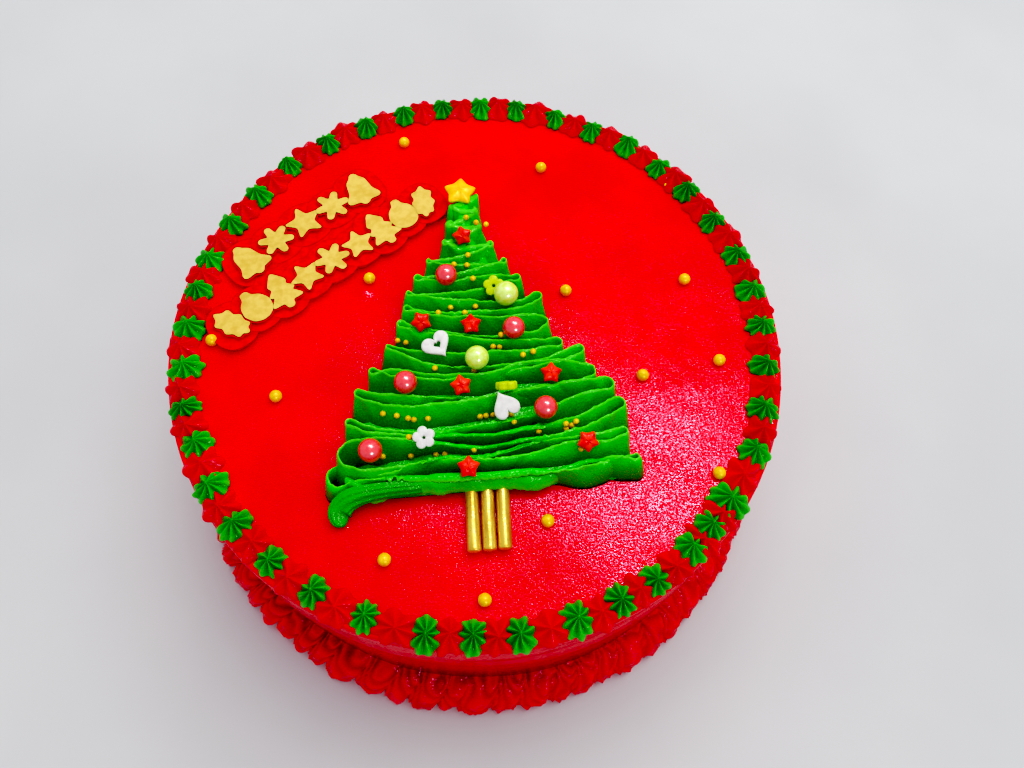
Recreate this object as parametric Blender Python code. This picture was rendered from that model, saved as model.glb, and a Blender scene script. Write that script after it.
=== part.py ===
"""A round red christmas cake with a piped tree.

The cake is a tall round of sponge under smooth red icing. A ruffle of shells runs round its foot and a
ring of small red and green stars runs round its top. On the top lie a tree piped as one ribbon that
zigzags upwards, with pearls, beads and small candies pressed into it, three gold rods as its trunk, and
a red plaque with raised gold ornaments.

All lengths below are in millimetres, and MM turns them into metres where a mesh is made. The origin is
the middle of the cake's underside, +Z is up, and the tree points along +Y.
"""

import math
import random

import bpy
import bmesh
import numpy as np
from mathutils import Matrix, Vector
from mathutils.bvhtree import BVHTree

MM = 0.001
GAP = 0.3
# The widest of these merges that leaves a body closed is used after a joint.
JOINT_MERGES = (0.02, 0.014, 0.008, 0.003, 0.0005)
FLAT_ANGLE = math.radians(4)
FULL_TURN = 2 * math.pi

CAKE_RADIUS = 116.0
CAKE_HEIGHT = 84.5
CAKE_SIDES = 60
# The cake and its borders are this much longer, and narrower, than round: front to back, side to side.
CAKE_OVAL = 1.1
STAR_RING_OVAL = 1.8
TOP = CAKE_HEIGHT + GAP

RUFFLE_SHELLS = 58
RUFFLE_INNER = CAKE_RADIUS + 0.7
RUFFLE_INNER_HEIGHT = 16.0
RUFFLE_TWIST = 0.9

STAR_RING_RADIUS = 110.0
STAR_LOBE_DEPTH = 0.74
STAR_WAIST = 0.68
GREEN_STAR_RADIUS = 5.6
GREEN_STAR_HEIGHT = 6.6
GREEN_STAR_LOBES = 6
RED_STAR_LENGTH = 6.4
RED_STAR_HEIGHT = 5.4
RED_STAR_LOBES = 5
DOUBLE_STAR_AT = 132.8
DOUBLE_STAR_RADIUS = 7.6
# Azimuths of the green stars, clockwise from the tree's tip, as the maker's hand spaced them.
GREEN_STAR_AZIMUTHS = (
    5.2, 13.2, 22.0, 31.1, 39.8, 48.7, 57.3, 66.8, 76.3, 85.5, 93.9, 103.0, 112.4, 121.7,
    DOUBLE_STAR_AT, 139.0, 144.4, 153.0, 160.0, 167.9, 177.7, 185.4, 193.2, 203.5, 213.4, 222.5,
    231.8, 240.6, 249.6, 257.6, 266.1, 275.0, 283.7, 291.4, 300.9, 309.7, 319.4, 329.6, 338.8,
    347.8, 356.5,
)

RIBBON_LEAN = 0.52
RIBBON_FOOT_THICKNESS = 2.0
RIBBON_EDGE_THICKNESS = 1.0
RIBBON_FULL_HEIGHT = 12.0
RIBBON_TIP_HEIGHT = 7.0
SLAB_HEIGHT = 4.5
TREE_FOOT_Y = -60.0
TREE_TIP_Y = 56.0
# Where the crest of the ribbon turns back, bottom to top, right and left by turns.
RIBBON_TURNS = (
    (50.5, -57.7), (-55.4, -54.8), (47.5, -48.5), (-51.1, -46.6), (48.5, -38.4), (-48.1, -37.2),
    (45.5, -30.6), (-45.4, -26.6), (40.1, -24.0), (-39.6, -18.0), (36.8, -17.3), (-33.9, -9.4),
    (29.0, -10.6), (-28.9, -1.0), (24.1, -2.0), (-28.0, 6.6), (23.4, 7.6), (-26.0, 13.6),
    (17.2, 17.4), (-22.4, 20.4), (12.8, 26.0), (-17.6, 27.4), (9.0, 34.4), (-11.6, 36.0),
    (6.0, 43.4), (-9.2, 45.2), (5.0, 51.5), (-7.6, 54.0),
)
RIBBON_END = (4.6, 59.0)
# How far the first passes bend up towards the tip between their ends.
PASS_BOWS = (2.6, 1.7)
CURL_MIDDLE = (-51.5, -61.9)
CURL_RADIUS = 2.4
TURN_RADIUS = 1.9

PEARL_RADIUS = 4.1
GOLD_PEARL_RADIUS = 2.35
BEAD_RADIUS = 1.1
RED_PEARLS = ((-10.4, 18.0), (12.2, -7.0), (-27.3, -25.4), (20.4, -39.1), (-39.9, -50.0))
LIME_PEARLS = ((11.0, 7.5), (-1.7, -17.7))
GOLD_PEARLS = (
    (-24.1, 94.0), (32.6, 76.1), (-40.2, 26.3), (35.3, 14.7), (82.6, 16.1), (-74.6, -21.4),
    (59.0, -24.2), (88.8, -20.4), (77.6, -62.6), (17.6, -75.8), (-37.6, -84.0), (-5.8, -100.0),
)
TREE_BEADS = (
    (-1.0, 47.5), (2.8, 44.4), (5.0, 43.0), (-1.5, 29.0), (-7.0, 25.0), (-2.0, 24.0), (-0.5, 18.0),
    (-9.5, 5.5), (-0.5, 5.0), (-14.5, 3.5), (-4.5, 2.5), (8.0, -8.0), (-29.5, -7.5), (-26.5, -8.5),
    (4.5, -12.5), (7.0, -13.0), (15.0, -17.0), (18.5, -16.0), (-17.0, -20.0), (-3.0, -22.0),
    (-35.5, -36.0), (-31.0, -37.5), (-27.0, -38.5), (-25.0, -39.5), (-20.0, -39.5), (-2.5, -40.0),
    (-0.5, -40.0), (2.0, -40.0), (8.0, -40.5), (9.0, -43.0), (17.0, -47.5), (26.5, -45.5),
    (30.5, -45.0), (28.5, -46.0), (26.5, -47.5), (-27.0, -46.0), (-36.0, -52.0), (-26.5, -52.5),
    (-18.0, -53.0), (-15.0, -53.0), (-5.5, -52.5), (30.5, -55.0),
)

CANDY_STAR_RADIUS = 3.7
CANDY_THICKNESS = 3.0
HEART_THICKNESS = 2.0
FLOWER_THICKNESS = 2.2
# Place of each red candy star, its turn about +Z, and how far it tips towards -Y, in degrees.
CANDY_STARS = (
    (-3.6, 35.8, 10, 48), (-20.8, -1.1, 25, 34), (-2.7, -3.0, 0, 14), (-8.8, -28.0, 8, 24),
    (23.9, -25.6, -6, 16), (33.3, -52.7, 34, 30), (-8.2, -58.1, -4, 18),
)
HEARTS = ((-15.8, -11.2, 28, 12), (7.1, -36.4, 205, 20))
HEART_WIDTHS = (10.8, 9.2)
FLOWER_RADIUS = 3.9
FLOWER_WHITE = (-21.9, -46.5, 10, 18)
FLOWER_LIME = (4.8, 13.2, 0, 25)
FLOWER_ON_EDGE = (6.8, -29.2, 0, -70)
PEARL_SINK = 1.8
CANDY_SINK = 0.9
TREE_STAR_PLACE = (-2.8, 60.4, -8, 0)
TREE_STAR_RADIUS = 6.45

ROD_RADIUS = 2.4
ROD_LENGTH = 25.0
ROD_PITCH = 5.15
ROD_FOOT = (-2.8, -84.8)
ROD_TURNS = (-1.8, -2.1, -2.4)

PLAQUE_PLACE = (-53.4, 36.4)
PLAQUE_TURN = 34.4
PLAQUE_BASE = 2.4
PLAQUE_RELIEF = 3.8
PLAQUE_MARGIN = 2.2


def rounds(sides, start=0.0):
    """The angles of a ring's points, evenly round a full turn from start."""
    return start + np.arange(sides) * FULL_TURN / sides


def ring(angles, radius, height):
    """Points at these angles, at a radius and height that may differ from point to point."""
    angles = np.asarray(angles)
    return np.column_stack((radius * np.cos(angles), radius * np.sin(angles), height + 0 * angles))


def oval(angles, radius, stretch=CAKE_OVAL):
    """The radius at each angle of an outline that is longest from front to back."""
    return radius - stretch * np.cos(2 * np.asarray(angles))


def icing(name, colour, roughness, metallic=0.0):
    """A plain Principled material."""
    material = bpy.data.materials.new(name)
    material.use_nodes = True
    shader = material.node_tree.nodes["Principled BSDF"]
    shader.inputs["Base Color"].default_value = (*colour, 1.0)
    shader.inputs["Roughness"].default_value = roughness
    shader.inputs["Metallic"].default_value = metallic
    return material


def solid(name, points, faces, material=None, smooth_below=None):
    """An object from points in millimetres, made of outward triangles."""
    mesh = bpy.data.meshes.new(name)
    mesh.from_pydata([Vector(point) * MM for point in points], [], faces)
    shape = bmesh.new()
    shape.from_mesh(mesh)
    bmesh.ops.triangulate(shape, faces=shape.faces)
    bmesh.ops.recalc_face_normals(shape, faces=shape.faces)
    shape.to_mesh(mesh)
    shape.free()
    if smooth_below is not None:
        mesh.shade_smooth()
        mesh.set_sharp_from_angle(angle=math.radians(smooth_below))
    if material is not None:
        mesh.materials.append(material)
    made = bpy.data.objects.new(name, mesh)
    bpy.context.scene.collection.objects.link(made)
    return made


def stack(rings, tip=None):
    """Points and faces of a solid that rises through equal rings to a flat top, or to a tip."""
    count = len(rings[0])
    points = [tuple(point) for level in rings for point in level]
    faces = [tuple(reversed(range(count)))]
    for level in range(len(rings) - 1):
        low = level * count
        for here in range(count):
            after = (here + 1) % count
            faces.append((low + here, low + after, low + count + after, low + count + here))
    top = (len(rings) - 1) * count
    if tip is None:
        faces.append(tuple(range(top, top + count)))
    else:
        points.append(tuple(tip))
        faces += [(top + here, top + (here + 1) % count, len(points) - 1) for here in range(count)]
    return points, faces


def combine(body, others, operation):
    """Joins the other objects to body, or cuts them from it, in one Boolean, and removes them."""
    group = bpy.data.collections.new(body.name + "_operands")
    bpy.context.scene.collection.children.link(group)
    for other in others:
        bpy.context.scene.collection.objects.unlink(other)
        group.objects.link(other)
    step = body.modifiers.new("combine", "BOOLEAN")
    step.operation = operation
    step.operand_type = "COLLECTION"
    step.collection = group
    bpy.context.view_layer.objects.active = body
    bpy.ops.object.modifier_apply(modifier=step.name)
    for other in others:
        bpy.data.objects.remove(other, do_unlink=True)
    bpy.data.collections.remove(group)


def tidy(body):
    """Drops loose crumbs, merges points that a joint left almost together and rejoins flat faces."""
    shape = bmesh.new()
    shape.from_mesh(body.data)
    unseen = set(shape.verts)
    islands = []
    while unseen:
        island = {unseen.pop()}
        rim = set(island)
        while rim:
            rim = {edge.other_vert(vert) for vert in rim for edge in vert.link_edges} - island
            island |= rim
        unseen -= island
        islands.append(island)
    islands.sort(key=len)
    crumbs = [vert for island in islands[:-1] for vert in island]
    bmesh.ops.delete(shape, geom=crumbs, context="VERTS")
    for merge in JOINT_MERGES:
        cleaned = shape.copy()
        bmesh.ops.remove_doubles(cleaned, verts=cleaned.verts, dist=merge * MM)
        bmesh.ops.dissolve_limit(cleaned, angle_limit=FLAT_ANGLE, verts=cleaned.verts, edges=cleaned.edges)
        bmesh.ops.triangulate(cleaned, faces=cleaned.faces)
        if all(len(edge.link_faces) == 2 for edge in cleaned.edges):
            break
    cleaned.to_mesh(body.data)


def ball(radius, place, fineness):
    """A round body: an icosphere of this fineness, or for fineness 0 a coarse globe of 42 faces."""
    mesh = bpy.data.meshes.new("ball")
    shape = bmesh.new()
    where = Matrix.Translation(Vector(place) * MM)
    if fineness:
        bmesh.ops.create_icosphere(shape, subdivisions=fineness, radius=radius * MM, matrix=where)
    else:
        bmesh.ops.create_uvsphere(shape, u_segments=7, v_segments=4, radius=radius * MM, matrix=where)
    bmesh.ops.triangulate(shape, faces=shape.faces)
    shape.to_mesh(mesh)
    shape.free()
    made = bpy.data.objects.new("ball", mesh)
    bpy.context.scene.collection.objects.link(made)
    return made


def prism(name, outline, low, high, material=None):
    """A straight-walled solid over a flat outline."""
    outline = np.asarray(outline)
    rings = [np.column_stack((outline, np.full(len(outline), level))) for level in (low, high)]
    return solid(name, *stack(rings), material)


def stand(piece, place, tilt=0.0, turn=0.0):
    """Places a piece, turned about +Z and then tipped so that its top leans towards -Y."""
    lean = Matrix.Rotation(math.radians(tilt), 4, "X")
    spin = Matrix.Rotation(math.radians(turn), 4, "Z")
    piece.matrix_world = Matrix.Translation(Vector(place) * MM) @ lean @ spin


# The cake

def make_cake(material):
    """The iced round: a straight side, a softly rounded top edge and loose gold pearls on top."""
    profile = (
        (CAKE_RADIUS, 0.0), (CAKE_RADIUS, CAKE_HEIGHT - 2.2),
        (CAKE_RADIUS - 0.7, CAKE_HEIGHT - 0.6), (CAKE_RADIUS - 2.4, CAKE_HEIGHT),
    )
    angles = rounds(CAKE_SIDES)
    rings = [ring(angles, oval(angles, radius), height) for radius, height in profile]
    cake = solid("cake_body", *stack(rings), material, smooth_below=35)
    lift = 0.62 * GOLD_PEARL_RADIUS
    pearls = [ball(GOLD_PEARL_RADIUS, (x, y, CAKE_HEIGHT + lift), 0) for x, y in GOLD_PEARLS]
    combine(cake, pearls, "UNION")
    tidy(cake)
    return cake


# The ruffle round the foot

def make_ruffle(material):
    """A rope of slanting shells: round scallops that meet in sharp valleys, wider below than above."""
    draw = random.Random(4)
    widths = np.array([draw.uniform(0.78, 1.3) for _ in range(RUFFLE_SHELLS)])
    bounds = np.concatenate(([0.0], np.cumsum(widths))) * FULL_TURN / widths.sum()
    swell = np.array([draw.uniform(0.75, 1.25) for _ in range(RUFFLE_SHELLS)])
    quarters = np.arange(4) / 4
    scallop = np.sqrt(1 - (2 * quarters - 1) ** 2)
    columns = (bounds[:-1, None] + np.diff(bounds)[:, None] * quarters).ravel()
    bulge = (swell[:, None] * scallop).ravel()
    pitch = FULL_TURN / RUFFLE_SHELLS
    # Each row: radius and height in the valleys, what a shell adds to them, and the slant in shells.
    rows = (
        (CAKE_RADIUS + 8.8, 0.0, 3.4, 0.0, 0.0), (CAKE_RADIUS + 9.0, 6.0, 3.6, 0.6, 0.12),
        (CAKE_RADIUS + 6.6, 13.0, 3.0, 2.2, 0.45), (CAKE_RADIUS + 2.8, 17.0, 1.4, 3.6, RUFFLE_TWIST),
    )
    outer = []
    for radius, height, out, up, slant in rows:
        angles = columns + slant * pitch
        outer.append(ring(angles, oval(angles, radius) + out * bulge, height + up * bulge))
    angles = bounds[:-1] + RUFFLE_TWIST * pitch
    inner = [ring(angles, oval(angles, RUFFLE_INNER), height) for height in (0.0, RUFFLE_INNER_HEIGHT)]
    points = np.concatenate(outer + inner)
    count = len(columns)
    faces = []
    for level in range(len(rows) - 1):
        low = level * count
        for here in range(count):
            after = (here + 1) % count
            faces.append((low + here, low + after, low + count + after, low + count + here))
    top = (len(rows) - 1) * count
    inside = len(rows) * count
    for shell in range(RUFFLE_SHELLS):
        after = (shell + 1) % RUFFLE_SHELLS
        arc = [(4 * shell + step) % count for step in range(5)]
        foot_inner = (inside + shell, inside + after)
        top_inner = (inside + RUFFLE_SHELLS + shell, inside + RUFFLE_SHELLS + after)
        faces.append((*[top + step for step in arc], top_inner[1], top_inner[0]))
        faces.append((foot_inner[0], foot_inner[1], *reversed(arc)))
        faces.append((foot_inner[1], foot_inner[0], top_inner[0], top_inner[1]))
    return solid("base_border", points, faces, material, smooth_below=50)


# The ring of stars round the top

def piped_star(azimuth, ring_radius, across, height, lobes, turn):
    """One star of icing: a lobed foot, a narrower lobed waist and a peak. Across is (radial, round)."""
    angles = rounds(2 * lobes, turn)
    lobe = np.where(np.arange(2 * lobes) % 2 == 0, 1.0, STAR_LOBE_DEPTH)
    rings = [ring(angles, lobe, 0.0), ring(angles, lobe * STAR_WAIST, 0.55 * height)]
    outward = FULL_TURN / 4 - math.radians(azimuth)
    ring_radius = oval(outward, ring_radius, STAR_RING_OVAL)
    placed = []
    for level in rings:
        radial = level[:, 0] * across[0] + ring_radius
        around = level[:, 1] * across[1]
        x = radial * math.cos(outward) - around * math.sin(outward)
        y = radial * math.sin(outward) + around * math.cos(outward)
        placed.append(np.column_stack((x, y, TOP + level[:, 2])))
    tip = (ring_radius * math.cos(outward), ring_radius * math.sin(outward), TOP + height)
    return solid("star", *stack(placed, tip))


def make_star_ring(material):
    """Green stars at their azimuths and a wider red star in the room between each two."""
    draw = random.Random(11)
    stars = []
    radii = []
    for azimuth in GREEN_STAR_AZIMUTHS:
        radius = GREEN_STAR_RADIUS * draw.uniform(0.93, 1.08)
        if azimuth == DOUBLE_STAR_AT:
            radius = DOUBLE_STAR_RADIUS
        radii.append(radius)
        stars.append(piped_star(
            azimuth, STAR_RING_RADIUS + draw.uniform(-0.6, 0.6), (radius, radius),
            GREEN_STAR_HEIGHT * draw.uniform(0.9, 1.1), GREEN_STAR_LOBES, draw.uniform(0, 1),
        ))
    for index, azimuth in enumerate(GREEN_STAR_AZIMUTHS):
        after = (index + 1) % len(GREEN_STAR_AZIMUTHS)
        step = (GREEN_STAR_AZIMUTHS[after] - azimuth) % 360
        room = math.radians(step) * STAR_RING_RADIUS
        covered = STAR_LOBE_DEPTH * radii[index]
        free = room - covered - STAR_LOBE_DEPTH * radii[after]
        middle = azimuth + math.degrees((covered + free / 2) / STAR_RING_RADIUS)
        around = max(free / 2 / STAR_LOBE_DEPTH + 0.6, 0.6 * GREEN_STAR_RADIUS)
        stars.append(piped_star(
            middle, STAR_RING_RADIUS + draw.uniform(-0.3, 0.9),
            (min(around, RED_STAR_LENGTH) * draw.uniform(0.92, 1.0), around),
            RED_STAR_HEIGHT * draw.uniform(0.85, 1.15), RED_STAR_LOBES, draw.uniform(0, 1),
        ))
    border = stars[0]
    border.name = "top_border"
    border.data.name = "top_border"
    combine(border, stars[1:], "UNION")
    tidy(border)
    border.data.materials.append(material)
    return border


# The piped tree

def ribbon_height(y):
    """How far the ribbon's crest stands above the cake: less and less towards the tree's tip."""
    share = min(max((y - TREE_FOOT_Y) / (TREE_TIP_Y - TREE_FOOT_Y), 0.0), 1.0)
    return RIBBON_FULL_HEIGHT + (RIBBON_TIP_HEIGHT - RIBBON_FULL_HEIGHT) * share


def ribbon_line():
    """The crest of the ribbon: a curled start, then passes joined by half-round turns."""
    line = [
        (CURL_MIDDLE[0] + CURL_RADIUS * math.cos(a), CURL_MIDDLE[1] + CURL_RADIUS * math.sin(a))
        for a in np.radians((310, 245, 180, 125, 90))
    ]
    for index, (x, y) in enumerate(RIBBON_TURNS):
        side = 1 if index % 2 == 0 else -1
        gaps = [abs(y - RIBBON_TURNS[other][1]) for other in (index - 2, index + 2)
                if 0 <= other < len(RIBBON_TURNS)]
        radius = min(0.22 * min(gaps), TURN_RADIUS)
        turn = [
            (x - side * radius + side * radius * math.cos(a), y + radius * math.sin(a))
            for a in np.radians((-90, -30, 30, 90))
        ]
        if index < len(PASS_BOWS):
            start, end = np.array(line[-1]), np.array(turn[0])
            line += [start + share * (end - start) + (0, PASS_BOWS[index]) for share in (0.25, 0.75)]
        line += turn
    line.append(RIBBON_END)
    return np.array(line)


def ribbon_solid(material):
    """A thin wall along the ribbon's line, thick at its foot, leaning back by a constant slope."""
    line = ribbon_line()
    ahead = np.vstack((line[1:] - line[:-1], line[-1] - line[-2]))
    ahead /= np.linalg.norm(ahead, axis=1)[:, None]
    behind = np.vstack((ahead[:1], ahead[:-1]))
    heading = ahead + behind
    heading /= np.linalg.norm(heading, axis=1)[:, None]
    across = np.column_stack((-heading[:, 1], heading[:, 0]))
    heights = np.array([ribbon_height(y) for y in line[:, 1]])
    foot_line = line - np.column_stack((0 * heights, RIBBON_LEAN * heights))
    rails = []
    for base, thickness, level in (
        (foot_line, RIBBON_FOOT_THICKNESS, np.full(len(line), TOP)),
        (line, RIBBON_EDGE_THICKNESS, TOP + heights),
    ):
        for side in (0.5, -0.5):
            rails.append(np.column_stack((base + side * thickness * across, level)))
    foot_left, foot_right, crest_left, crest_right = rails
    sections = np.stack((foot_right, crest_right, crest_left, foot_left), axis=1)
    return solid("piped_tree", *stack(list(sections)), material)


def slab_solid():
    """The icing that fills between the feet of the passes, on the same slope as the ribbon."""
    right = [(x - 0.8, y) for x, y in RIBBON_TURNS[0::2]]
    left = [(x + 0.8, y) for x, y in RIBBON_TURNS[1::2]]
    front = [(-50.0, -59.6), (-26.0, -59.8 + PASS_BOWS[0]), (22.0, -59.8 + PASS_BOWS[0]), (47.0, -59.9)]
    outline = np.array(front + right + left[::-1])
    rings = []
    for level in (0.0, SLAB_HEIGHT):
        shift = [RIBBON_LEAN * (ribbon_height(y) - level) for y in outline[:, 1]]
        rings.append(np.column_stack((outline[:, 0], outline[:, 1] - shift, np.full(len(outline), TOP + level))))
    return solid("slab", *stack(rings))


def surface_of(bodies):
    """The faces of these bodies, where they stand, ready for rays and nearest points."""
    points = []
    faces = []
    for body in bodies:
        first = len(points)
        points += [body.matrix_world @ vert.co for vert in body.data.vertices]
        faces += [[first + corner for corner in face.vertices] for face in body.data.polygons]
    return BVHTree.FromPolygons(points, faces)


def drop(surface, x, y, reach=0.0, radius=0.0):
    """The height, in millimetres, at which a disc of this reach comes to lie on a surface.

    With a radius it is the height of a resting ball's middle: each point under it lifts the ball by
    the height of the ball's own underside there.
    """
    heights = []
    for share in (0.0, 0.33, 0.67, 1.0):
        lift = math.sqrt(max(radius ** 2 - (share * reach) ** 2, 0.0))
        for a in rounds(8):
            start = Vector((x + share * reach * math.cos(a), y + share * reach * math.sin(a), 200.0)) * MM
            hit = surface.ray_cast(start, Vector((0, 0, -1)))[0]
            if hit is not None:
                heights.append(hit.z / MM + lift)
    return max(heights)


def make_tree(tree, pockets, candies):
    """Presses pockets for the candies and the trunk into the joined icing, then adds the tiny beads."""
    west, east = ROD_FOOT[0] - 1.5 * ROD_PITCH - 0.6, ROD_FOOT[0] + 1.5 * ROD_PITCH + 1.9
    far = ROD_FOOT[1] + ROD_LENGTH + 2 * GAP
    notch = prism("notch", ((west, -90.0), (east, -90.0), (east, far), (west, far)),
                  TOP - 1.0, TOP + 2 * ROD_RADIUS + GAP)
    combine(tree, pockets + [notch], "DIFFERENCE")
    surface = surface_of([tree])
    taken = surface_of(candies)
    beads = []
    for x, y in TREE_BEADS:
        place = Vector((x, y, drop(surface, x, y) + 0.45 * BEAD_RADIUS)) * MM
        if taken.find_nearest(place)[3] > (BEAD_RADIUS + GAP) * MM:
            beads.append(ball(BEAD_RADIUS, place / MM, 1))
    combine(tree, beads, "UNION")
    tidy(tree)


# Candies

def star_outline(radius, points=5, depth=0.5):
    """A star with a point along +Y."""
    angles = rounds(2 * points, FULL_TURN / 4)
    reach = np.where(np.arange(2 * points) % 2 == 0, radius, radius * depth)
    return ring(angles, reach, 0.0)[:, :2]


def heart_outline(width, steps=14):
    """The well-known heart curve, with its tip along -Y."""
    turns = rounds(steps)
    across = 16 * np.sin(turns) ** 3
    along = 13 * np.cos(turns) - 5 * np.cos(2 * turns) - 2 * np.cos(3 * turns) - np.cos(4 * turns) + 2.5
    return np.column_stack((-across, along)) * width / 32


def flower_outline(radius, petals=5):
    """Round petals, each a pair of points on the rim, with a notch between each two."""
    petal = FULL_TURN / petals
    angles = np.concatenate([(k * petal - 0.3, k * petal + 0.3, (k + 0.5) * petal) for k in range(petals)])
    reach = np.tile((radius, radius, 0.66 * radius), petals)
    return ring(angles + FULL_TURN / 4, reach, 0.0)[:, :2]


def puffy(name, outline, thickness, material, crown=0.62):
    """A candy with a flat back, a full waist and a smaller crown, centred on its own origin."""
    rings = []
    for scale, share in ((0.86, -0.5), (1.0, -0.05), (crown, 0.42)):
        rings.append(np.column_stack((outline * scale, np.full(len(outline), share * thickness))))
    return solid(name, *stack(rings, (0.0, 0.0, 0.5 * thickness)), material, smooth_below=40)


def ring_candy(name, outline, hole, thickness, material):
    """A flat candy with a hole: two faces, an outer wall and an inner wall."""
    count = len(outline)
    points = []
    for line in (outline, hole):
        for level in (-0.5 * thickness, 0.5 * thickness):
            points += [(x, y, level) for x, y in line]
    faces = []
    for here in range(count):
        after = (here + 1) % count
        for low, high in ((0, 1), (1, 3), (3, 2), (2, 0)):
            faces.append((low * count + here, low * count + after, high * count + after, high * count + here))
    return solid(name, points, faces, material)


def pearl(name, x, y, surface, material):
    """A round pearl sunk a little into the crests under it, and the pocket that it presses."""
    height = drop(surface, x, y, 0.8 * PEARL_RADIUS, PEARL_RADIUS) - PEARL_SINK
    made = ball(PEARL_RADIUS, (0, 0, 0), 2)
    made.name = name
    made.data.name = name
    made.data.shade_smooth()
    made.data.materials.append(material)
    stand(made, (x, y, height))
    return made, ball(PEARL_RADIUS + 2.5 * GAP, (x, y, height), 2)


def settle(candy, radius, thickness, place, surface):
    """Lays a flat candy on the crests, turned and tilted, and makes the pocket that it presses."""
    x, y, turn, tilt = place
    lean = math.radians(tilt)
    height = drop(surface, x, y, 0.7 * radius) + (0.5 * thickness - CANDY_SINK) * math.cos(lean)
    height += 0.45 * radius * math.sin(abs(lean))
    stand(candy, (x, y, height), tilt, turn)
    outline = ring(rounds(8), radius + 1.5 * GAP, 0.0)[:, :2]
    pocket = prism("pocket", outline, -0.5 * thickness - GAP, 0.5 * thickness + GAP + 7.0 * math.cos(lean))
    stand(pocket, (x, y, height), tilt, turn)
    return pocket


def make_candies(surface, colours):
    """Every pearl, star, heart and flower on the tree, with the pockets to press into the icing."""
    candies = []
    pockets = []
    for kind, places in (("red", RED_PEARLS), ("lime", LIME_PEARLS)):
        for number, (x, y) in enumerate(places, 1):
            made, pocket = pearl(f"pearl_{kind}_{number}", x, y, surface, colours[kind])
            candies.append(made)
            pockets.append(pocket)
    shapes = [
        (puffy(f"star_red_{number}", star_outline(CANDY_STAR_RADIUS), CANDY_THICKNESS, colours["red"]),
         CANDY_STAR_RADIUS, CANDY_THICKNESS, place)
        for number, place in enumerate(CANDY_STARS, 1)
    ]
    heart = heart_outline(HEART_WIDTHS[0])
    hole = heart * 0.18 + (0.2, 0.6)
    shapes.append((ring_candy("heart_white_1", heart, hole, HEART_THICKNESS, colours["white"]),
                   0.55 * HEART_WIDTHS[0], HEART_THICKNESS, HEARTS[0]))
    heart = heart_outline(HEART_WIDTHS[1])
    half = HEART_THICKNESS / 2
    shapes.append((prism("heart_white_2", heart, -half, half, colours["white"]),
                   0.55 * HEART_WIDTHS[1], HEART_THICKNESS, HEARTS[1]))
    flowers = (("flower_white_1", FLOWER_WHITE, "white"), ("flower_lime_1", FLOWER_LIME, "lime"),
               ("flower_lime_2", FLOWER_ON_EDGE, "lime"))
    for name, place, colour in flowers:
        petals = flower_outline(FLOWER_RADIUS)
        shapes.append((ring_candy(name, petals, petals * 0.16, FLOWER_THICKNESS, colours[colour]),
                       FLOWER_RADIUS, FLOWER_THICKNESS, place))
    for candy, radius, thickness, place in shapes:
        pockets.append(settle(candy, radius, thickness, place, surface))
        candies.append(candy)
    return candies, pockets


def make_trunk(material):
    """Three rods side by side, leaning slightly to the right, their upper ends under the tree."""
    rods = []
    angles = rounds(8, FULL_TURN / 16)
    levels = ((0.62, 0.0), (1.0, 1.0), (1.0, ROD_LENGTH - 1.0), (0.62, ROD_LENGTH))
    for number, name in enumerate(("left", "middle", "right")):
        rings = [ring(angles, share * ROD_RADIUS, height) for share, height in levels]
        rod = solid(f"trunk_rod_{name}", *stack(rings), material, smooth_below=40)
        x = ROD_FOOT[0] + (number - 1) * ROD_PITCH
        lie = Matrix.Rotation(math.radians(-90), 4, "X")
        fan = Matrix.Rotation(math.radians(ROD_TURNS[number]), 4, "Z")
        place = Vector((x, ROD_FOOT[1], TOP + ROD_RADIUS)) * MM
        rod.matrix_world = Matrix.Translation(place) @ fan @ lie
        rods.append(rod)
    return rods


# The plaque

def mirrored(half):
    """A closed outline from its right half, listed from top to bottom."""
    half = np.asarray(half, float)
    other = half[::-1] * (-1, 1)
    keep = np.abs(other[:, 0]) > 1e-6
    return np.vstack((half[::-1], other[::-1][keep[::-1]]))


SNOWFLAKE = np.vstack([
    ring(np.radians((arm - 9, arm + 9, arm + 30)), np.array((1.0, 1.0, 0.42)), 0.0)[:, :2]
    for arm in range(30, 390, 60)
])
FIR = mirrored(((0, 1), (0.40, 0.42), (0.20, 0.42), (0.55, -0.12), (0.28, -0.12), (0.68, -0.68),
                (0.14, -0.68), (0.14, -1)))
BELL = mirrored(((0.14, 1.0), (0.18, 0.78), (0.46, 0.52), (0.56, -0.2), (0.86, -0.62), (0.80, -0.78),
                 (0.20, -0.78), (0.14, -1.0)))
BAUBLE = mirrored(((0.20, 1.0), (0.20, 0.68), (0.56, 0.42), (0.74, -0.1), (0.56, -0.62), (0.2, -0.84)))
LEAF = mirrored(((0, 1), (0.20, 0.62), (0.52, 0.56), (0.36, 0.14), (0.60, -0.10), (0.36, -0.40),
                 (0.44, -0.76), (0.12, -0.72), (0.08, -1)))
STAR = star_outline(1.0, 5, 0.45)

# Each ornament: outline, place along and across the plaque, half its height, turn in degrees.
ORNAMENTS = (
    (BELL, -26.0, 19.0, 7.4, 10), (SNOWFLAKE, -13.2, 20.2, 6.6, 4), (STAR, 0.0, 20.6, 7.4, -6),
    (SNOWFLAKE, 13.0, 20.4, 6.6, 20), (BELL, 26.0, 20.6, 7.6, -12),
    (LEAF, -46.0, -1.4, 7.6, 24), (BAUBLE, -35.6, -0.8, 7.6, 8), (FIR, -24.6, -0.6, 8.2, -3),
    (STAR, -13.4, -1.4, 6.8, 12), (SNOWFLAKE, -1.4, -0.8, 6.9, 14), (STAR, 10.6, -1.4, 6.8, -10),
    (FIR, 21.4, -0.6, 8.2, 3), (BAUBLE, 32.0, -0.8, 7.6, -8), (LEAF, 41.6, -0.6, 7.4, -26),
)


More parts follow.
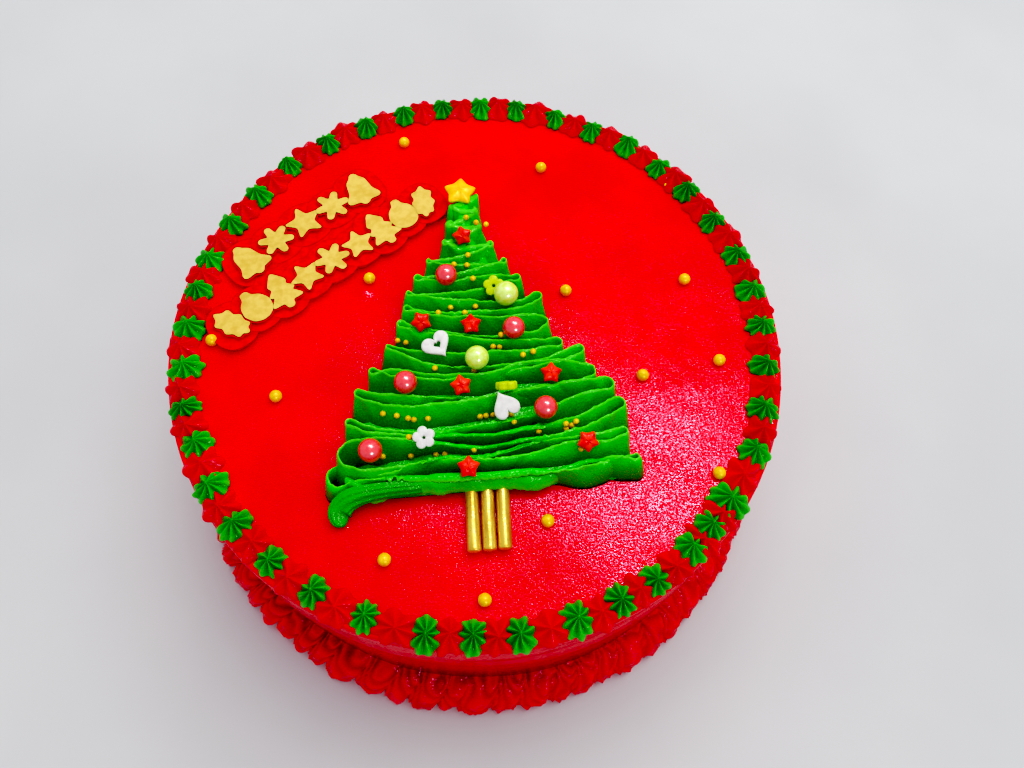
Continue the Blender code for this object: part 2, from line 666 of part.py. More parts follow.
def make_plaque(material):
    """A moulded plate whose edge follows its ornaments, with each ornament raised on it."""
    pieces = []
    for outline, along, across, size, turn in ORNAMENTS:
        spin = math.radians(turn)
        spun = outline * size @ np.array(((math.cos(spin), math.sin(spin)), (-math.sin(spin), math.cos(spin))))
        centre = np.array((along, across))
        half = np.ptp(spun, axis=0) / 2 + PLAQUE_MARGIN
        plate = ring(rounds(8, 0.2), 1.0, 0.0)[:, :2] * half + centre
        pieces.append(prism("plate", plate, TOP, TOP + PLAQUE_BASE))
        pieces.append(prism("ornament", spun + centre, TOP + 0.8, TOP + PLAQUE_RELIEF))
    bar = np.array(((-30.0, 4.0), (32.0, 4.0), (28.0, 16.0), (-22.0, 16.0)))
    pieces.append(prism("bar", bar, TOP, TOP + PLAQUE_BASE))
    plaque = pieces[0]
    plaque.name = "plaque"
    plaque.data.name = "plaque"
    combine(plaque, pieces[1:], "UNION")
    tidy(plaque)
    place = Matrix.Translation(Vector((*PLAQUE_PLACE, 0.0)) * MM)
    plaque.matrix_world = place @ Matrix.Rotation(math.radians(PLAQUE_TURN), 4, "Z")
    plaque.data.materials.append(material)
    return plaque


def main():
    for old in list(bpy.data.objects):
        bpy.data.objects.remove(old, do_unlink=True)
    red = icing("red_icing", (0.62, 0.0, 0.005), 0.38)
    green = icing("green_icing", (0.005, 0.27, 0.005), 0.35)
    gold = icing("gold", (0.80, 0.50, 0.10), 0.25, 1.0)
    candy = {
        "red": icing("red_candy", (0.75, 0.02, 0.02), 0.25),
        "lime": icing("lime_candy", (0.55, 0.75, 0.05), 0.3),
        "white": icing("white_candy", (0.88, 0.84, 0.85), 0.4),
    }
    make_cake(red)
    make_ruffle(red)
    make_star_ring(green)
    tree = ribbon_solid(green)
    combine(tree, [slab_solid()], "UNION")
    surface = surface_of([tree])
    candies, pockets = make_candies(surface, candy)
    star = puffy("tree_star", star_outline(TREE_STAR_RADIUS), CANDY_THICKNESS, gold, 0.8)
    pockets.append(settle(star, TREE_STAR_RADIUS, CANDY_THICKNESS, TREE_STAR_PLACE, surface))
    make_tree(tree, pockets, candies + [star])
    make_trunk(gold)
    make_plaque(red)


main()
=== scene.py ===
# %% [markdown]
# # A christmas cake in Blender
#
# The cake is a tall round under smooth red icing, with a ribbon tree piped on top, a ring of little
# stars round the edge, a ruffle round the foot and small candies pressed into the tree. The packed
# model already holds every piece at its true size and place. This notebook dresses it: each plain
# solid is replaced by a fine surface of the same form, and each surface gets its own finish.
#
# Everything below is worked out in millimetres, because that is how a cake maker measures. A piece
# becomes metres only in the moment it turns into a mesh.

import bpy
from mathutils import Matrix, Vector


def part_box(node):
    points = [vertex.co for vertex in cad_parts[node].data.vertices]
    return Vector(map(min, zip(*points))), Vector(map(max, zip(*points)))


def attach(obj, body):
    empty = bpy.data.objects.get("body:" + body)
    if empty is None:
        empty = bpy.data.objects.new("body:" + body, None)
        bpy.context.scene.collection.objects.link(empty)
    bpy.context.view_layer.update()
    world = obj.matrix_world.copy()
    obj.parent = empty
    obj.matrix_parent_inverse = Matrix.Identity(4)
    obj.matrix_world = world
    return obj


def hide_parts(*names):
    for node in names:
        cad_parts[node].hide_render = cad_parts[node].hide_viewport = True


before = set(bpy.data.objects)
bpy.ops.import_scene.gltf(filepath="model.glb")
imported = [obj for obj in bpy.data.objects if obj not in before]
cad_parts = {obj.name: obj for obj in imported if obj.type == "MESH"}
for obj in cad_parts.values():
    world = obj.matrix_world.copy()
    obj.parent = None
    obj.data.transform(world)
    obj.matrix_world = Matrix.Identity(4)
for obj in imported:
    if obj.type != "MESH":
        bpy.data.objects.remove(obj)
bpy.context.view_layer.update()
print("solids in the frame:", len(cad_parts))

# %% Modules and the units
import math

import bpy
import numpy as np
from mathutils import Matrix, Vector
from mathutils.bvhtree import BVHTree

MM = 0.001
FULL_TURN = 2 * math.pi
CAKE_RADIUS = 116.0
CAKE_HEIGHT = 84.5
TOP = 84.8                 # the level on which the decorations lie
print("cake:", 2 * CAKE_RADIUS, "mm across and", CAKE_HEIGHT, "mm tall")

# %% [markdown]
# ## The camera
#
# The picture was taken from above and a little in front, with a phone held slightly askew. A camera
# in Blender could be turned by three angles, but those are hard to read. Here it is given the way a
# photographer would say it: where it is, what it looks at, and how far it is rolled.

# %% The camera
CAMERA_PLACE = Vector((-9.12, -148.28, 346.35))
CAMERA_TARGET = Vector((10.64, -23.02, 84.5))
CAMERA_ROLL = 3.71
LENS = 27.83               # for a sensor 36 mm wide

aim = (CAMERA_TARGET - CAMERA_PLACE).to_track_quat("-Z", "Y").to_matrix().to_4x4()
lens = bpy.data.cameras.new("camera")
lens.lens = LENS
lens.sensor_width = 36.0
lens.clip_start = 0.01
camera = bpy.data.objects.new("camera", lens)
bpy.context.scene.collection.objects.link(camera)
camera.matrix_world = (
    Matrix.Translation(CAMERA_PLACE * MM) @ aim @ Matrix.Rotation(math.radians(CAMERA_ROLL), 4, "Z")
)
bpy.context.scene.camera = camera
print("camera looks along", [round(value, 3) for value in -camera.matrix_world.col[2].xyz])

# %% [markdown]
# ## Meshes from grids
#
# Nearly every piece here is a surface with two directions: round and up for a star, along and across
# for a ribbon. Such a surface is a grid of points, and numpy can work out a whole grid at once. Some
# helpers turn grids into closed bodies: one lists the faces between neighbouring rows and columns, a
# tube closes both ends with a fan, and a hoop joins its last row to its first. One more makes the mesh,
# checks that its faces look outwards, and ties the piece to the frame.
#
# The check uses the divergence theorem: add up, over all triangles, the volume of the small pyramid
# from the origin to the triangle. If the sum is negative, the faces look inwards and are turned.

# %% Faces between the rows and columns of a grid
def quads_between(index):
    """Quads of a grid of point numbers.

    The corners of a face are (row, column), (row, next), (next row, next) and (next row, column).
    """
    corners = (index[:-1, :-1], index[:-1, 1:], index[1:, 1:], index[1:, :-1])
    return np.stack(corners, axis=-1).reshape(-1, 4)


def grid_faces(rows, columns, round_rows=False):
    """Quads of a grid of points numbered row by row, its last column joined to its first.

    With round_rows the last row is also joined to the first, as on a ring.
    """
    index = np.arange(rows * columns).reshape(rows, columns)
    if round_rows:
        index = np.vstack((index, index[:1]))
    return quads_between(np.hstack((index, index[:, :1])))


def tube(rings):
    """A closed body from rings of points: quads between the rings and a fan of triangles at each end.

    The middle of each fan is the mean of the ring that it closes.
    """
    rings = np.asarray(rings, float)
    rows, columns = rings.shape[:2]
    points = np.vstack((rings.reshape(-1, 3), rings[0].mean(axis=0), rings[-1].mean(axis=0)))
    here = np.arange(columns)
    after = np.roll(here, -1)
    last = (rows - 1) * columns
    start = np.column_stack((after, here, np.full(columns, rows * columns)))
    end = np.column_stack((last + here, last + after, np.full(columns, rows * columns + 1)))
    return points, grid_faces(rows, columns), np.vstack((start, end))


def with_ends(values, start=0.0):
    """One number for each point of a tube: those on its rings, its first middle, and 0 for its last."""
    return np.concatenate((np.ravel(values), (start, 0.0)))


def hoop(rings):
    """A closed ring-shaped body: the last ring of points is joined to the first."""
    rings = np.asarray(rings, float)
    rows, columns = rings.shape[:2]
    return rings.reshape(-1, 3), grid_faces(rows, columns, True), np.zeros((0, 3), int)


def gather(bodies):
    """Joins (points, quads, triangles) of many bodies into one such set."""
    points, quads, triangles = [], [], []
    first = 0
    for body_points, body_quads, body_triangles in bodies:
        points.append(body_points)
        quads.append(body_quads + first)
        triangles.append(body_triangles + first)
        first += len(body_points)
    return np.vstack(points), np.vstack(quads), np.vstack(triangles)


print("faces of a ring of 3 by 4 points:", len(grid_faces(3, 4)))

# %% A piece of the cake
def volume(points, quads, triangles):
    """Signed volume: the sum over triangles of a . (b x c) / 6."""
    corners = np.vstack((triangles, quads[:, [0, 1, 2]], quads[:, [0, 2, 3]]))
    a, b, c = (points[corners[:, number]] for number in range(3))
    return float(np.einsum("ij,ij->i", a, np.cross(b, c)).sum() / 6)


def piece(name, body, material, nodes=(), attributes=None, sharp=None):
    """Makes one visible object from a body in millimetres and ties it to the frame.

    attributes holds one number for each point under a name that the material reads.
    """
    points, quads, triangles = body
    if volume(points, quads, triangles) < 0:
        quads, triangles = quads[:, ::-1], triangles[:, ::-1]
    mesh = bpy.data.meshes.new(name)
    mesh.from_pydata(points * MM, [], quads.tolist() + triangles.tolist())
    mesh.shade_smooth()
    if sharp is not None:
        mesh.set_sharp_from_angle(angle=math.radians(sharp))
    for label, values in (attributes or {}).items():
        layer = mesh.attributes.new(label, "FLOAT", "POINT")
        layer.data.foreach_set("value", np.asarray(values, np.float32))
    mesh.materials.append(material)
    made = bpy.data.objects.new(name, mesh)
    bpy.context.scene.collection.objects.link(made)
    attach(made, "root")
    if nodes:
        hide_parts(*nodes)
    print(f"{name}: {2 * len(quads) + len(triangles)} triangles")


CUBE_SIDE = np.array(((1, 1), (-1, 1), (-1, -1), (1, -1))) / 2
cube = tube([np.column_stack((CUBE_SIDE, np.full(4, level))) for level in (0.0, 1.0)])
print("volume of a cube of side 1:", volume(*cube))

# %% [markdown]
# ## Small unevenness
#
# Icing is spread and piped by hand, so nothing on it is exactly even. A sum of sine waves whose
# directions and phases are drawn from a seeded generator gives a smooth, natural unevenness of a
# chosen size. It is cheap, it is the same in every run, and it works on any list of points.

# %% Waves of a chosen length
WAVES = 14


def unit(vectors):
    """The same directions with length 1."""
    return vectors / np.maximum(np.linalg.norm(vectors, axis=-1), 1e-9)[..., None]


def unevenness(points, length, seed):
    """The sum of many sine waves, divided by the root of their number: mostly between -1 and 1.

    Each wave is sin(2 pi (direction . point) / l + phase), with a random direction and a length l
    between 0.7 and 1.5 times the given one.
    """
    draw = np.random.default_rng(seed)
    points = np.asarray(points, float)
    directions = unit(draw.normal(size=(WAVES, points.shape[-1])))
    lengths = length * draw.uniform(0.7, 1.5, WAVES)
    phases = draw.uniform(0, FULL_TURN, WAVES)
    total = np.zeros(points.shape[:-1])
    for direction, size, phase in zip(directions, lengths, phases):
        total += np.sin(FULL_TURN * (points @ direction) / size + phase)
    return total / math.sqrt(WAVES)


def smooth_step(value, low, high):
    """0 below low, 1 above high and 3t^2 - 2t^3 between them."""
    share = np.clip((value - low) / (high - low), 0, 1)
    return share * share * (3 - 2 * share)


print("a quarter of the way, a smooth step has risen by", smooth_step(0.25, 0, 1))

# %% Round shapes
def oval(angles, radius, stretch=1.1):
    """The radius at each angle of a round that is longer from front to back: r - stretch cos(2a)."""
    return radius - stretch * np.cos(2 * np.asarray(angles))


def rounds(count, start=0.0):
    """Evenly spaced angles of a full turn."""
    return start + np.arange(count) * FULL_TURN / count


def turned(reach, angles, height):
    """Points this far out from the middle, at these angles from +X and at these heights."""
    return np.stack(np.broadcast_arrays(reach * np.cos(angles), reach * np.sin(angles), height), -1)


def squared(wave, power):
    """A sine or cosine with its sign kept and its size raised to a power, which squares a circle off."""
    return np.sign(wave) * np.abs(wave) ** power


print("a round's radius to the side and to the front:", oval(np.array((0, math.pi / 2)), CAKE_RADIUS))

# %% [markdown]
# ## Finishes
#
# Buttercream and royal icing are soft pastes full of tiny air bubbles and sugar grains. Seen close,
# the surface glints in single bright points rather than in one clean highlight. A smooth material with
# low roughness would look like plastic, and a rough one like chalk. So the finish here is fairly
# glossy, with a fine bump whose features are well under a millimetre, and the colour wanders a little
# between a light and a deep tone over some centimetres.

# %% A builder for procedural finishes
class Finish:
    """A Principled material whose nodes are added one after another from left to right."""

    def __init__(self, name, roughness, metallic=0.0, specular=0.5, coat=0.0, coat_roughness=0.1):
        self.material = bpy.data.materials.new(name)
        self.material.use_nodes = True
        self.nodes = self.material.node_tree.nodes
        self.links = self.material.node_tree.links
        self.shader = self.nodes["Principled BSDF"]
        self.place = self.nodes.new("ShaderNodeTexCoord").outputs["Object"]
        self.normal = None
        for socket, value in (("Roughness", roughness), ("Metallic", metallic), ("Coat Weight", coat),
                              ("Specular IOR Level", specular), ("Coat Roughness", coat_roughness)):
            self.shader.inputs[socket].default_value = value

    def noise(self, size, detail=2.0, squash=None):
        """A noise between 0 and 1 whose features are about size millimetres across."""
        node = self.nodes.new("ShaderNodeTexNoise")
        node.inputs["Scale"].default_value = 1.0 / (size * MM)
        node.inputs["Detail"].default_value = detail
        source = self.place
        if squash is not None:
            turn = self.nodes.new("ShaderNodeMapping")
            turn.inputs["Scale"].default_value = squash
            self.links.new(source, turn.inputs["Vector"])
            source = turn.outputs["Vector"]
        self.links.new(source, node.inputs["Vector"])
        return node.outputs["Fac"]

    def attribute(self, name):
        """The numbers that a piece carries under this name."""
        node = self.nodes.new("ShaderNodeAttribute")
        node.attribute_name = name
        return node.outputs["Fac"]

    def ramp(self, value, low, high, to_low=0.0, to_high=1.0):
        """Maps low..high smoothly to to_low..to_high, and holds the ends."""
        node = self.nodes.new("ShaderNodeMapRange")
        node.interpolation_type = "SMOOTHSTEP"
        for number, amount in zip((1, 2, 3, 4), (low, high, to_low, to_high)):
            node.inputs[number].default_value = amount
        self.links.new(value, node.inputs[0])
        return node.outputs[0]

    def mix(self, factor, first, second):
        """A colour between two colours; either may be a colour or the output of another mix."""
        node = self.nodes.new("ShaderNodeMix")
        node.data_type = "RGBA"
        self.links.new(factor, node.inputs[0])
        for socket, colour in ((node.inputs[6], first), (node.inputs[7], second)):
            if isinstance(colour, tuple):
                socket.default_value = (*colour, 1.0)
            else:
                self.links.new(colour, socket)
        return node.outputs[2]

    def colour(self, source):
        """The base colour comes from this output."""
        self.links.new(source, self.shader.inputs["Base Color"])

    def roughness(self, source):
        """The roughness comes from this output."""
        self.links.new(source, self.shader.inputs["Roughness"])

    def bump(self, source, depth, strength=1.0):
        """Adds relief of this depth in millimetres on top of the bumps added before."""
        node = self.nodes.new("ShaderNodeBump")
        node.inputs["Distance"].default_value = depth * MM
        node.inputs["Strength"].default_value = strength
        self.links.new(source, node.inputs["Height"])
        if self.normal is not None:
            self.links.new(self.normal, node.inputs["Normal"])
        self.normal = node.outputs["Normal"]
        self.links.new(self.normal, self.shader.inputs["Normal"])


# %% The icings
# the colour of the painted shade in hollows and on sides away from the light, as a share of the deep tone
PAINTED_SHADE_TONE = 0.28         # how bright the icing is in the deepest hollows, next to its deep tone
PASTE_GLINT = 0.06         # the specular level of the paste between the grains


def icing(name, tones, tint, roughness, grain, grain_depth, glint, dents=6.0):
    """Coloured buttercream: two tones, painted shade in hollows, painted highlight on thin edges, fine
    grain.

    Light that enters the icing and comes back near the surface takes some of its colour, so the
    highlights are tinted too. Single grains glint more than the paste between them. grain and dents
    are the sizes of the grains and of the shallow dents, in millimetres.
    """
    light, deep, edge = tones
    finish = Finish(name, roughness)
    finish.shader.inputs["Specular Tint"].default_value = (*tint, 1.0)
    body = finish.mix(finish.ramp(finish.noise(26, 3), 0.35, 0.70), light, deep)
    # painted shade: darker where a piece marks a hollow or a side away from the light
    body = finish.mix(finish.attribute("painted_shade"), body, tuple(PAINTED_SHADE_TONE * part for part in deep))
    # painted highlight: lighter where a piece marks a thin edge or ridge
    finish.colour(finish.mix(finish.attribute("edge"), body, edge))
    finish.roughness(finish.ramp(finish.noise(6, 2), 0.3, 0.7, roughness - 0.03, roughness + 0.05))
    grains = finish.ramp(finish.noise(1.1 * grain, 1), 0.46, 0.58, PASTE_GLINT, glint)
    finish.links.new(grains, finish.shader.inputs["Specular IOR Level"])
    finish.bump(finish.noise(dents, 2), 0.2, 0.1)
    finish.bump(finish.noise(grain, 1), grain_depth)
    return finish.material


# Light and deep tone of each icing, and the tone of its painted highlight on thin edges.
RED_TONES = (0.87, 0.0, 0.003), (0.77, 0.0, 0.005), (0.92, 0.02, 0.02)
PIPED_RED_TONES = (0.90, 0.0, 0.003), (0.78, 0.0, 0.004), (1.0, 0.04, 0.04)
GREEN_TONES = (0.0, 0.62, 0.005), (0.0, 0.48, 0.004), (0.18, 0.76, 0.06)
RED_TINT, GREEN_TINT = (1.0, 0.50, 0.66), (0.75, 1.0, 0.68)
red_smooth = icing("red_icing_smooth", RED_TONES, RED_TINT, roughness=0.17, grain=0.60,
                   grain_depth=0.070, glint=0.66, dents=40.0)
red_piped = icing("red_icing_piped", PIPED_RED_TONES, RED_TINT, roughness=0.25, grain=0.8,
                  grain_depth=0.2, glint=0.6)
green_piped = icing("green_icing_piped", GREEN_TONES, GREEN_TINT, roughness=0.25, grain=0.7,
                    grain_depth=0.18, glint=0.6)
print("icings:", red_smooth.name, red_piped.name, green_piped.name)

# %% [markdown]
# The candies need three more finishes. Pearls are sugar balls under a lustre of mica, stamped shapes
# are dry sugar paste, and what is gilded carries gold dust in a clear binder. Each could be one flat
# colour, but then it would look like plastic. So each mixes two close tones over a few millimetres,
# lets the roughness wander, and has a very shallow bump.

# %% Finishes of the candies
def sugar_shell(name, light, deep, shine):
    """Pearly sugar balls: a thin lustre coat over a coloured shell, slightly mottled.

    The lustre is mica, which bends light more than sugar does, so the coat gets a high IOR.
    """
    finish = Finish(name, 0.34, specular=0.25, coat=shine, coat_roughness=0.24)
    finish.shader.inputs["Coat IOR"].default_value = 2.3
    finish.colour(finish.mix(finish.ramp(finish.noise(1.6, 3), 0.35, 0.7), light, deep))
    finish.roughness(finish.ramp(finish.noise(0.9, 2), 0.3, 0.7, 0.24, 0.42))
    finish.bump(finish.noise(0.7, 2), 0.03)
    return finish.material


def pressed_sugar(name, light, deep, roughness=0.5, coat=0.0, specular=0.2):
    """Small shapes stamped from sugar paste: matt, faintly grainy."""
    finish = Finish(name, roughness, specular=specular, coat=coat, coat_roughness=0.2)
    finish.colour(finish.mix(finish.ramp(finish.noise(2.2, 3), 0.35, 0.7), light, deep))
    finish.roughness(finish.ramp(finish.noise(0.8, 2), 0.3, 0.7, roughness - 0.08, roughness + 0.08))
    finish.bump(finish.noise(0.5, 2), 0.04)
    return finish.material


def gilt(name, light, deep, roughness, metallic, wear=0.05, size=2.0, squash=None):
    """Edible gold paint: metallic dust in a clear binder, thicker in some places than in others.

    wear is the depth of its unevenness, size the size of its patches, and squash draws them out.
    """
    finish = Finish(name, roughness, metallic=metallic, specular=0.3)
    finish.colour(finish.mix(finish.ramp(finish.noise(size, 4, squash), 0.35, 0.72), light, deep))
    finish.roughness(finish.ramp(finish.noise(1.1, 3), 0.3, 0.7, roughness - 0.08, roughness + 0.12))
    finish.bump(finish.noise(1.0, 3), wear)
    return finish.material


pearl_red = sugar_shell("pearl_red", (0.95, 0.055, 0.05), (0.84, 0.0, 0.01), 1.0)
pearl_lime = sugar_shell("pearl_lime", (0.74, 0.94, 0.24), (0.60, 0.84, 0.05), 0.8)
gold_ball = gilt("gold_ball", (0.94, 0.60, 0.03), (0.78, 0.44, 0.012), 0.30, metallic=0.12, wear=0.02)
gold_rod = gilt("gold_rod", (0.76, 0.53, 0.12), (0.48, 0.30, 0.04), 0.34, metallic=0.6, wear=0.04,
                size=2.4, squash=(1.0, 0.16, 1.0))
gold_star = gilt("gold_star", (0.98, 0.58, 0.015), (0.88, 0.46, 0.01), 0.38, metallic=0.1)
gold_print = gilt("gold_print", (0.72, 0.51, 0.13), (0.62, 0.39, 0.075), 0.45, metallic=0.12, wear=0.02,
                  size=3.0)
star_red = pressed_sugar("star_red", (0.96, 0.075, 0.015), (0.80, 0.02, 0.005), 0.30, coat=0.2)
sugar_white = pressed_sugar("sugar_white", (0.76, 0.74, 0.72), (0.68, 0.65, 0.64))
sugar_lime = pressed_sugar("sugar_lime", (0.56, 0.72, 0.02), (0.46, 0.62, 0.012), 0.42)
plaque_red = pressed_sugar("plaque_red", (0.84, 0.0, 0.002), (0.66, 0.0, 0.003), 0.62, specular=0.06)
plaque_line = pressed_sugar("plaque_line", (0.13, 0.035, 0.006), (0.08, 0.015, 0.004))
print("finishes so far:", len(bpy.data.materials))

# %% [markdown]
# ## The floor and the light
#
# The cake stands on a pale, plain surface. The photograph's light is a wide, bright source behind the
# cake and to the right, high up, with a lot of pale room round it: shadows fall softly to the lower
# left, and the icing near the front right picks up a pink sheen.
#
# One lamp could give both, but a lamp that is wide enough for soft shadows would spread its reflection
# over the whole top. So the two jobs are split. A wide ceiling light gives the shadows and isn't
# mirrored in anything, and three small lamps are mirrored and light nothing else: the window makes the
# sheen, and the other two put a glint on the pearls, the rods and the ridges. An even, pale world
# stands for the room.

# %% The floor
FLOOR_HALF = 1400.0
FLOOR_ROWS = 41
FLOOR_DROP = 0.3           # so that the floor and the underside of the cake don't meet


def floor_sheet():
    """A flat square grid just below the cake."""
    across = np.linspace(-FLOOR_HALF, FLOOR_HALF, FLOOR_ROWS)
    x, y = np.meshgrid(across, across)
    points = np.stack((x, y, np.full_like(x, -FLOOR_DROP)), -1).reshape(-1, 3)
    return points, quads_between(np.arange(x.size).reshape(x.shape))


FLOOR_LIGHT, FLOOR_DEEP = (0.60, 0.615, 0.61), (0.55, 0.565, 0.565)
paper = Finish("pale_floor", 0.6, specular=0.12)
paper.colour(paper.mix(paper.ramp(paper.noise(180, 4), 0.3, 0.7), FLOOR_LIGHT, FLOOR_DEEP))
paper.bump(paper.noise(30, 4), 0.4, 0.4)
floor_points, floor_quads = floor_sheet()
floor_mesh = bpy.data.meshes.new("floor")
floor_mesh.from_pydata(floor_points * MM, [], floor_quads.tolist())
floor_mesh.materials.append(paper.material)
floor = bpy.data.objects.new("floor", floor_mesh)
bpy.context.scene.collection.objects.link(floor)
print("floor:", 2 * FLOOR_HALF * MM, "m wide")

# %% The lights
def area_light(name, azimuth, height, distance, size, power, colour=(1.0, 1.0, 1.0)):
    """A square light that faces the cake's top from an azimuth (clockwise from +Y) and an elevation.

    Distance and size are in metres and power is in watts.
    """
    a, e = math.radians(azimuth), math.radians(height)
    direction = Vector((math.sin(a) * math.cos(e), math.cos(a) * math.cos(e), math.sin(e)))
    lamp = bpy.data.lights.new(name, "AREA")
    lamp.shape = "SQUARE"
    lamp.size = size
    lamp.energy = power
    lamp.color = colour
    holder = bpy.data.objects.new(name, lamp)
    bpy.context.scene.collection.objects.link(holder)
    holder.matrix_world = Matrix.Translation(Vector((0, 0, TOP)) * MM + direction * distance) @ (
        direction.to_track_quat("Z", "Y").to_matrix().to_4x4())
    return holder


area_light("ceiling", 40, 66, 1.6, 1.5, 19.0).visible_glossy = False
area_light("window", 52, 69, 1.3, 0.16, 6.6, (1.0, 0.86, 0.92)).visible_diffuse = False
area_light("lamp", 6, 69, 1.3, 0.10, 3.0).visible_diffuse = False
area_light("front", 160, 32, 1.3, 0.10, 5.0).visible_diffuse = False

# %% The room and the tones of the picture
ROOM_COLOUR, ROOM_STRENGTH = (0.95, 0.97, 1.0, 1.0), 0.64
BLACK_LEVEL = (0.028, 0.055, 0.034)
TONES = ((0.10, 0.072), (0.34, 0.41), (0.70, 0.745))     # points of the curve that adds contrast

scene = bpy.context.scene
scene.world = bpy.data.worlds.new("room")
scene.world.use_nodes = True
room = scene.world.node_tree.nodes["Background"]
room.inputs["Color"].default_value = ROOM_COLOUR
room.inputs["Strength"].default_value = ROOM_STRENGTH
scene.view_settings.view_transform = "Standard"
scene.view_settings.use_curve_mapping = True
curve = scene.view_settings.curve_mapping
curve.black_level = BLACK_LEVEL
for place, value in TONES:
    curve.curves[3].points.new(place, value)
curve.update()
print("room light:", ROOM_STRENGTH)

# %% [markdown]
# ## The iced cake
#
# A cake like this is coated, scraped upright with a smoother while the turntable runs, and finished by
# drawing the ridge that rises at the edge inwards over the top. That leaves a thin lip round the rim,
# faint bands round the side and shallow sweeps on the top. The form is a profile turned round the
# middle, which is a grid of angles and profile points. The bands and sweeps are added to it as small
# waves, so they are real relief and not only a bump.

# %% The profile of the round
CAKE_COLUMNS = 720
LIP = 0.35                 # how far the lip stands above the top
RIM_ROUND = 2.2


def cake_profile():
    """Radius and height from the middle of the underside, out, up the side, over the rim and in."""
    under = np.column_stack(((0.5, 40, 90, CAKE_RADIUS - 0.6), (0, 0, 0, 0)))
    side_heights = np.linspace(0.8, CAKE_HEIGHT - RIM_ROUND - 0.4, 26)
    side = np.column_stack((np.full(26, CAKE_RADIUS), side_heights))
    turn = np.linspace(0, math.pi / 2, 7)
    rim = np.column_stack((CAKE_RADIUS - RIM_ROUND * (1 - np.cos(turn)) * 0.75,
                           CAKE_HEIGHT - RIM_ROUND * (1 - np.sin(turn)) + LIP * np.sin(turn)))
    inward = np.concatenate((np.linspace(CAKE_RADIUS - 2.6, 100, 16), np.linspace(98, 0.5, 50)))
    lip = LIP * np.exp(-((CAKE_RADIUS - 1.8 - inward) / 1.6) ** 2)
    return np.vstack((under, side, rim, np.column_stack((inward, CAKE_HEIGHT + lip))))


profile = cake_profile()
print("points in the profile:", len(profile))

# %% The cake's surface
CRACK_FROM, CRACK_TO = -62.0, -22.0      # azimuths from +X between which the rim's edge has split
CRACK_BELOW, CRACK_DEPTH, CRACK_WIDTH = 2.9, 0.9, 0.45
MOUND_PLACE = (-43.0, 22.0)              # a little icing was left beside the plaque
MOUND_HEIGHT, MOUND_SPREAD = 0.9, 3.0
LIT_SIDE = math.radians(40)              # the angle from +X of the side that faces the light
SHADE_HEIGHTS = (20, 66)                 # between these the shade above the ruffle fades out


def cake_surface():
    """The turned profile with bands on its side, sweeps on its top, a split rim and a small mound.

    Also gives how far each point lies in the shade just above the ruffle, which is less on the side
    that faces the light. The split and the mound are bells: exp(-(distance / width)^2).
    """
    angles = rounds(CAKE_COLUMNS)
    radius = profile[:, 0][:, None]
    height = np.repeat(profile[:, 1][:, None], CAKE_COLUMNS, axis=1)
    reach = np.where(radius > 60, oval(angles, radius), radius)
    flat = turned(reach, angles, height)
    on_side = smooth_step(height, 1.0, 6.0) * smooth_step(radius, 114.5, 115.5)
    bands = unevenness(flat / (9, 9, 1), 9, 3)
    reach = reach + on_side * (0.22 * bands + 0.25 * unevenness(flat, 60, 4))
    degrees = np.degrees(np.arctan2(flat[..., 1], flat[..., 0]))
    inside = smooth_step(degrees, CRACK_FROM, CRACK_FROM + 10)
    inside = inside * smooth_step(-degrees, -CRACK_TO, 10 - CRACK_TO)
    wander = 0.5 * unevenness(flat[..., :2], 14, 5)
    groove = np.exp(-((height - (CAKE_HEIGHT - CRACK_BELOW) - wander) / CRACK_WIDTH) ** 2)
    reach = reach - CRACK_DEPTH * inside * groove * smooth_step(radius, 113, 114)
    on_top = smooth_step(height, CAKE_HEIGHT - 0.4, CAKE_HEIGHT)
    sweeps = 0.12 * unevenness(flat[..., :2], 42, 6) + 0.02 * unevenness(flat[..., :2], 11, 7)
    near = np.linalg.norm(flat[..., :2] - MOUND_PLACE, axis=-1)
    mound = MOUND_HEIGHT * np.exp(-(near / MOUND_SPREAD) ** 2)
    at_rim = np.exp(-((CAKE_RADIUS - 1.6 - radius) / 1.2) ** 2)
    ragged = 0.18 * unevenness(flat[..., :2], 4, 8) * at_rim
    height = height + on_top * (sweeps + mound + ragged)
    away = 0.8 - 0.3 * np.cos(angles - LIT_SIDE)
    shade = (1 - smooth_step(height, *SHADE_HEIGHTS)) * (radius > 100) * np.minimum(away, 1)
    return turned(reach, angles, height), shade


cake, shade = cake_surface()
piece("cake_icing", tube(cake), red_smooth, ["cake_body"], {"painted_shade": with_ends(shade)})

# %% [markdown]
# ## Gold pearls on the top
#
# Sugar pearls of about five millimetres are dropped on the fresh icing and sink in a little. A sphere
# could be added ready made. Worked out as a grid it is only a line of numpy, and the same function
# serves the large pearls and the tiny beads later on.

# %% A ball from a grid
def ball(radius, place, columns=20, rows=11):
    """Rings at even steps from pole to pole: r sin(a) across and r cos(a) up."""
    steps = np.linspace(0.06, math.pi - 0.06, rows)[:, None]
    rings = turned(np.sin(steps), rounds(columns), -np.cos(steps))
    return tube(rings * radius + np.asarray(place))


GOLD_PEARL_RADIUS = 2.35
GOLD_PEARLS = (
    (-24.1, 94.0), (32.6, 76.1), (-40.2, 26.3), (35.3, 14.7), (82.6, 16.1), (-74.6, -21.4),
    (59.0, -24.2), (88.8, -20.4), (79.4, -64.2), (17.6, -75.8), (-37.6, -84.0), (-5.8, -100.0),
    (-98.7, 3.6),
)
pearl_level = CAKE_HEIGHT + 0.62 * GOLD_PEARL_RADIUS     # sunk in by more than a third of its radius
piece("gold_pearls", gather([ball(GOLD_PEARL_RADIUS, (x, y, pearl_level)) for x, y in GOLD_PEARLS]),
      gold_ball)

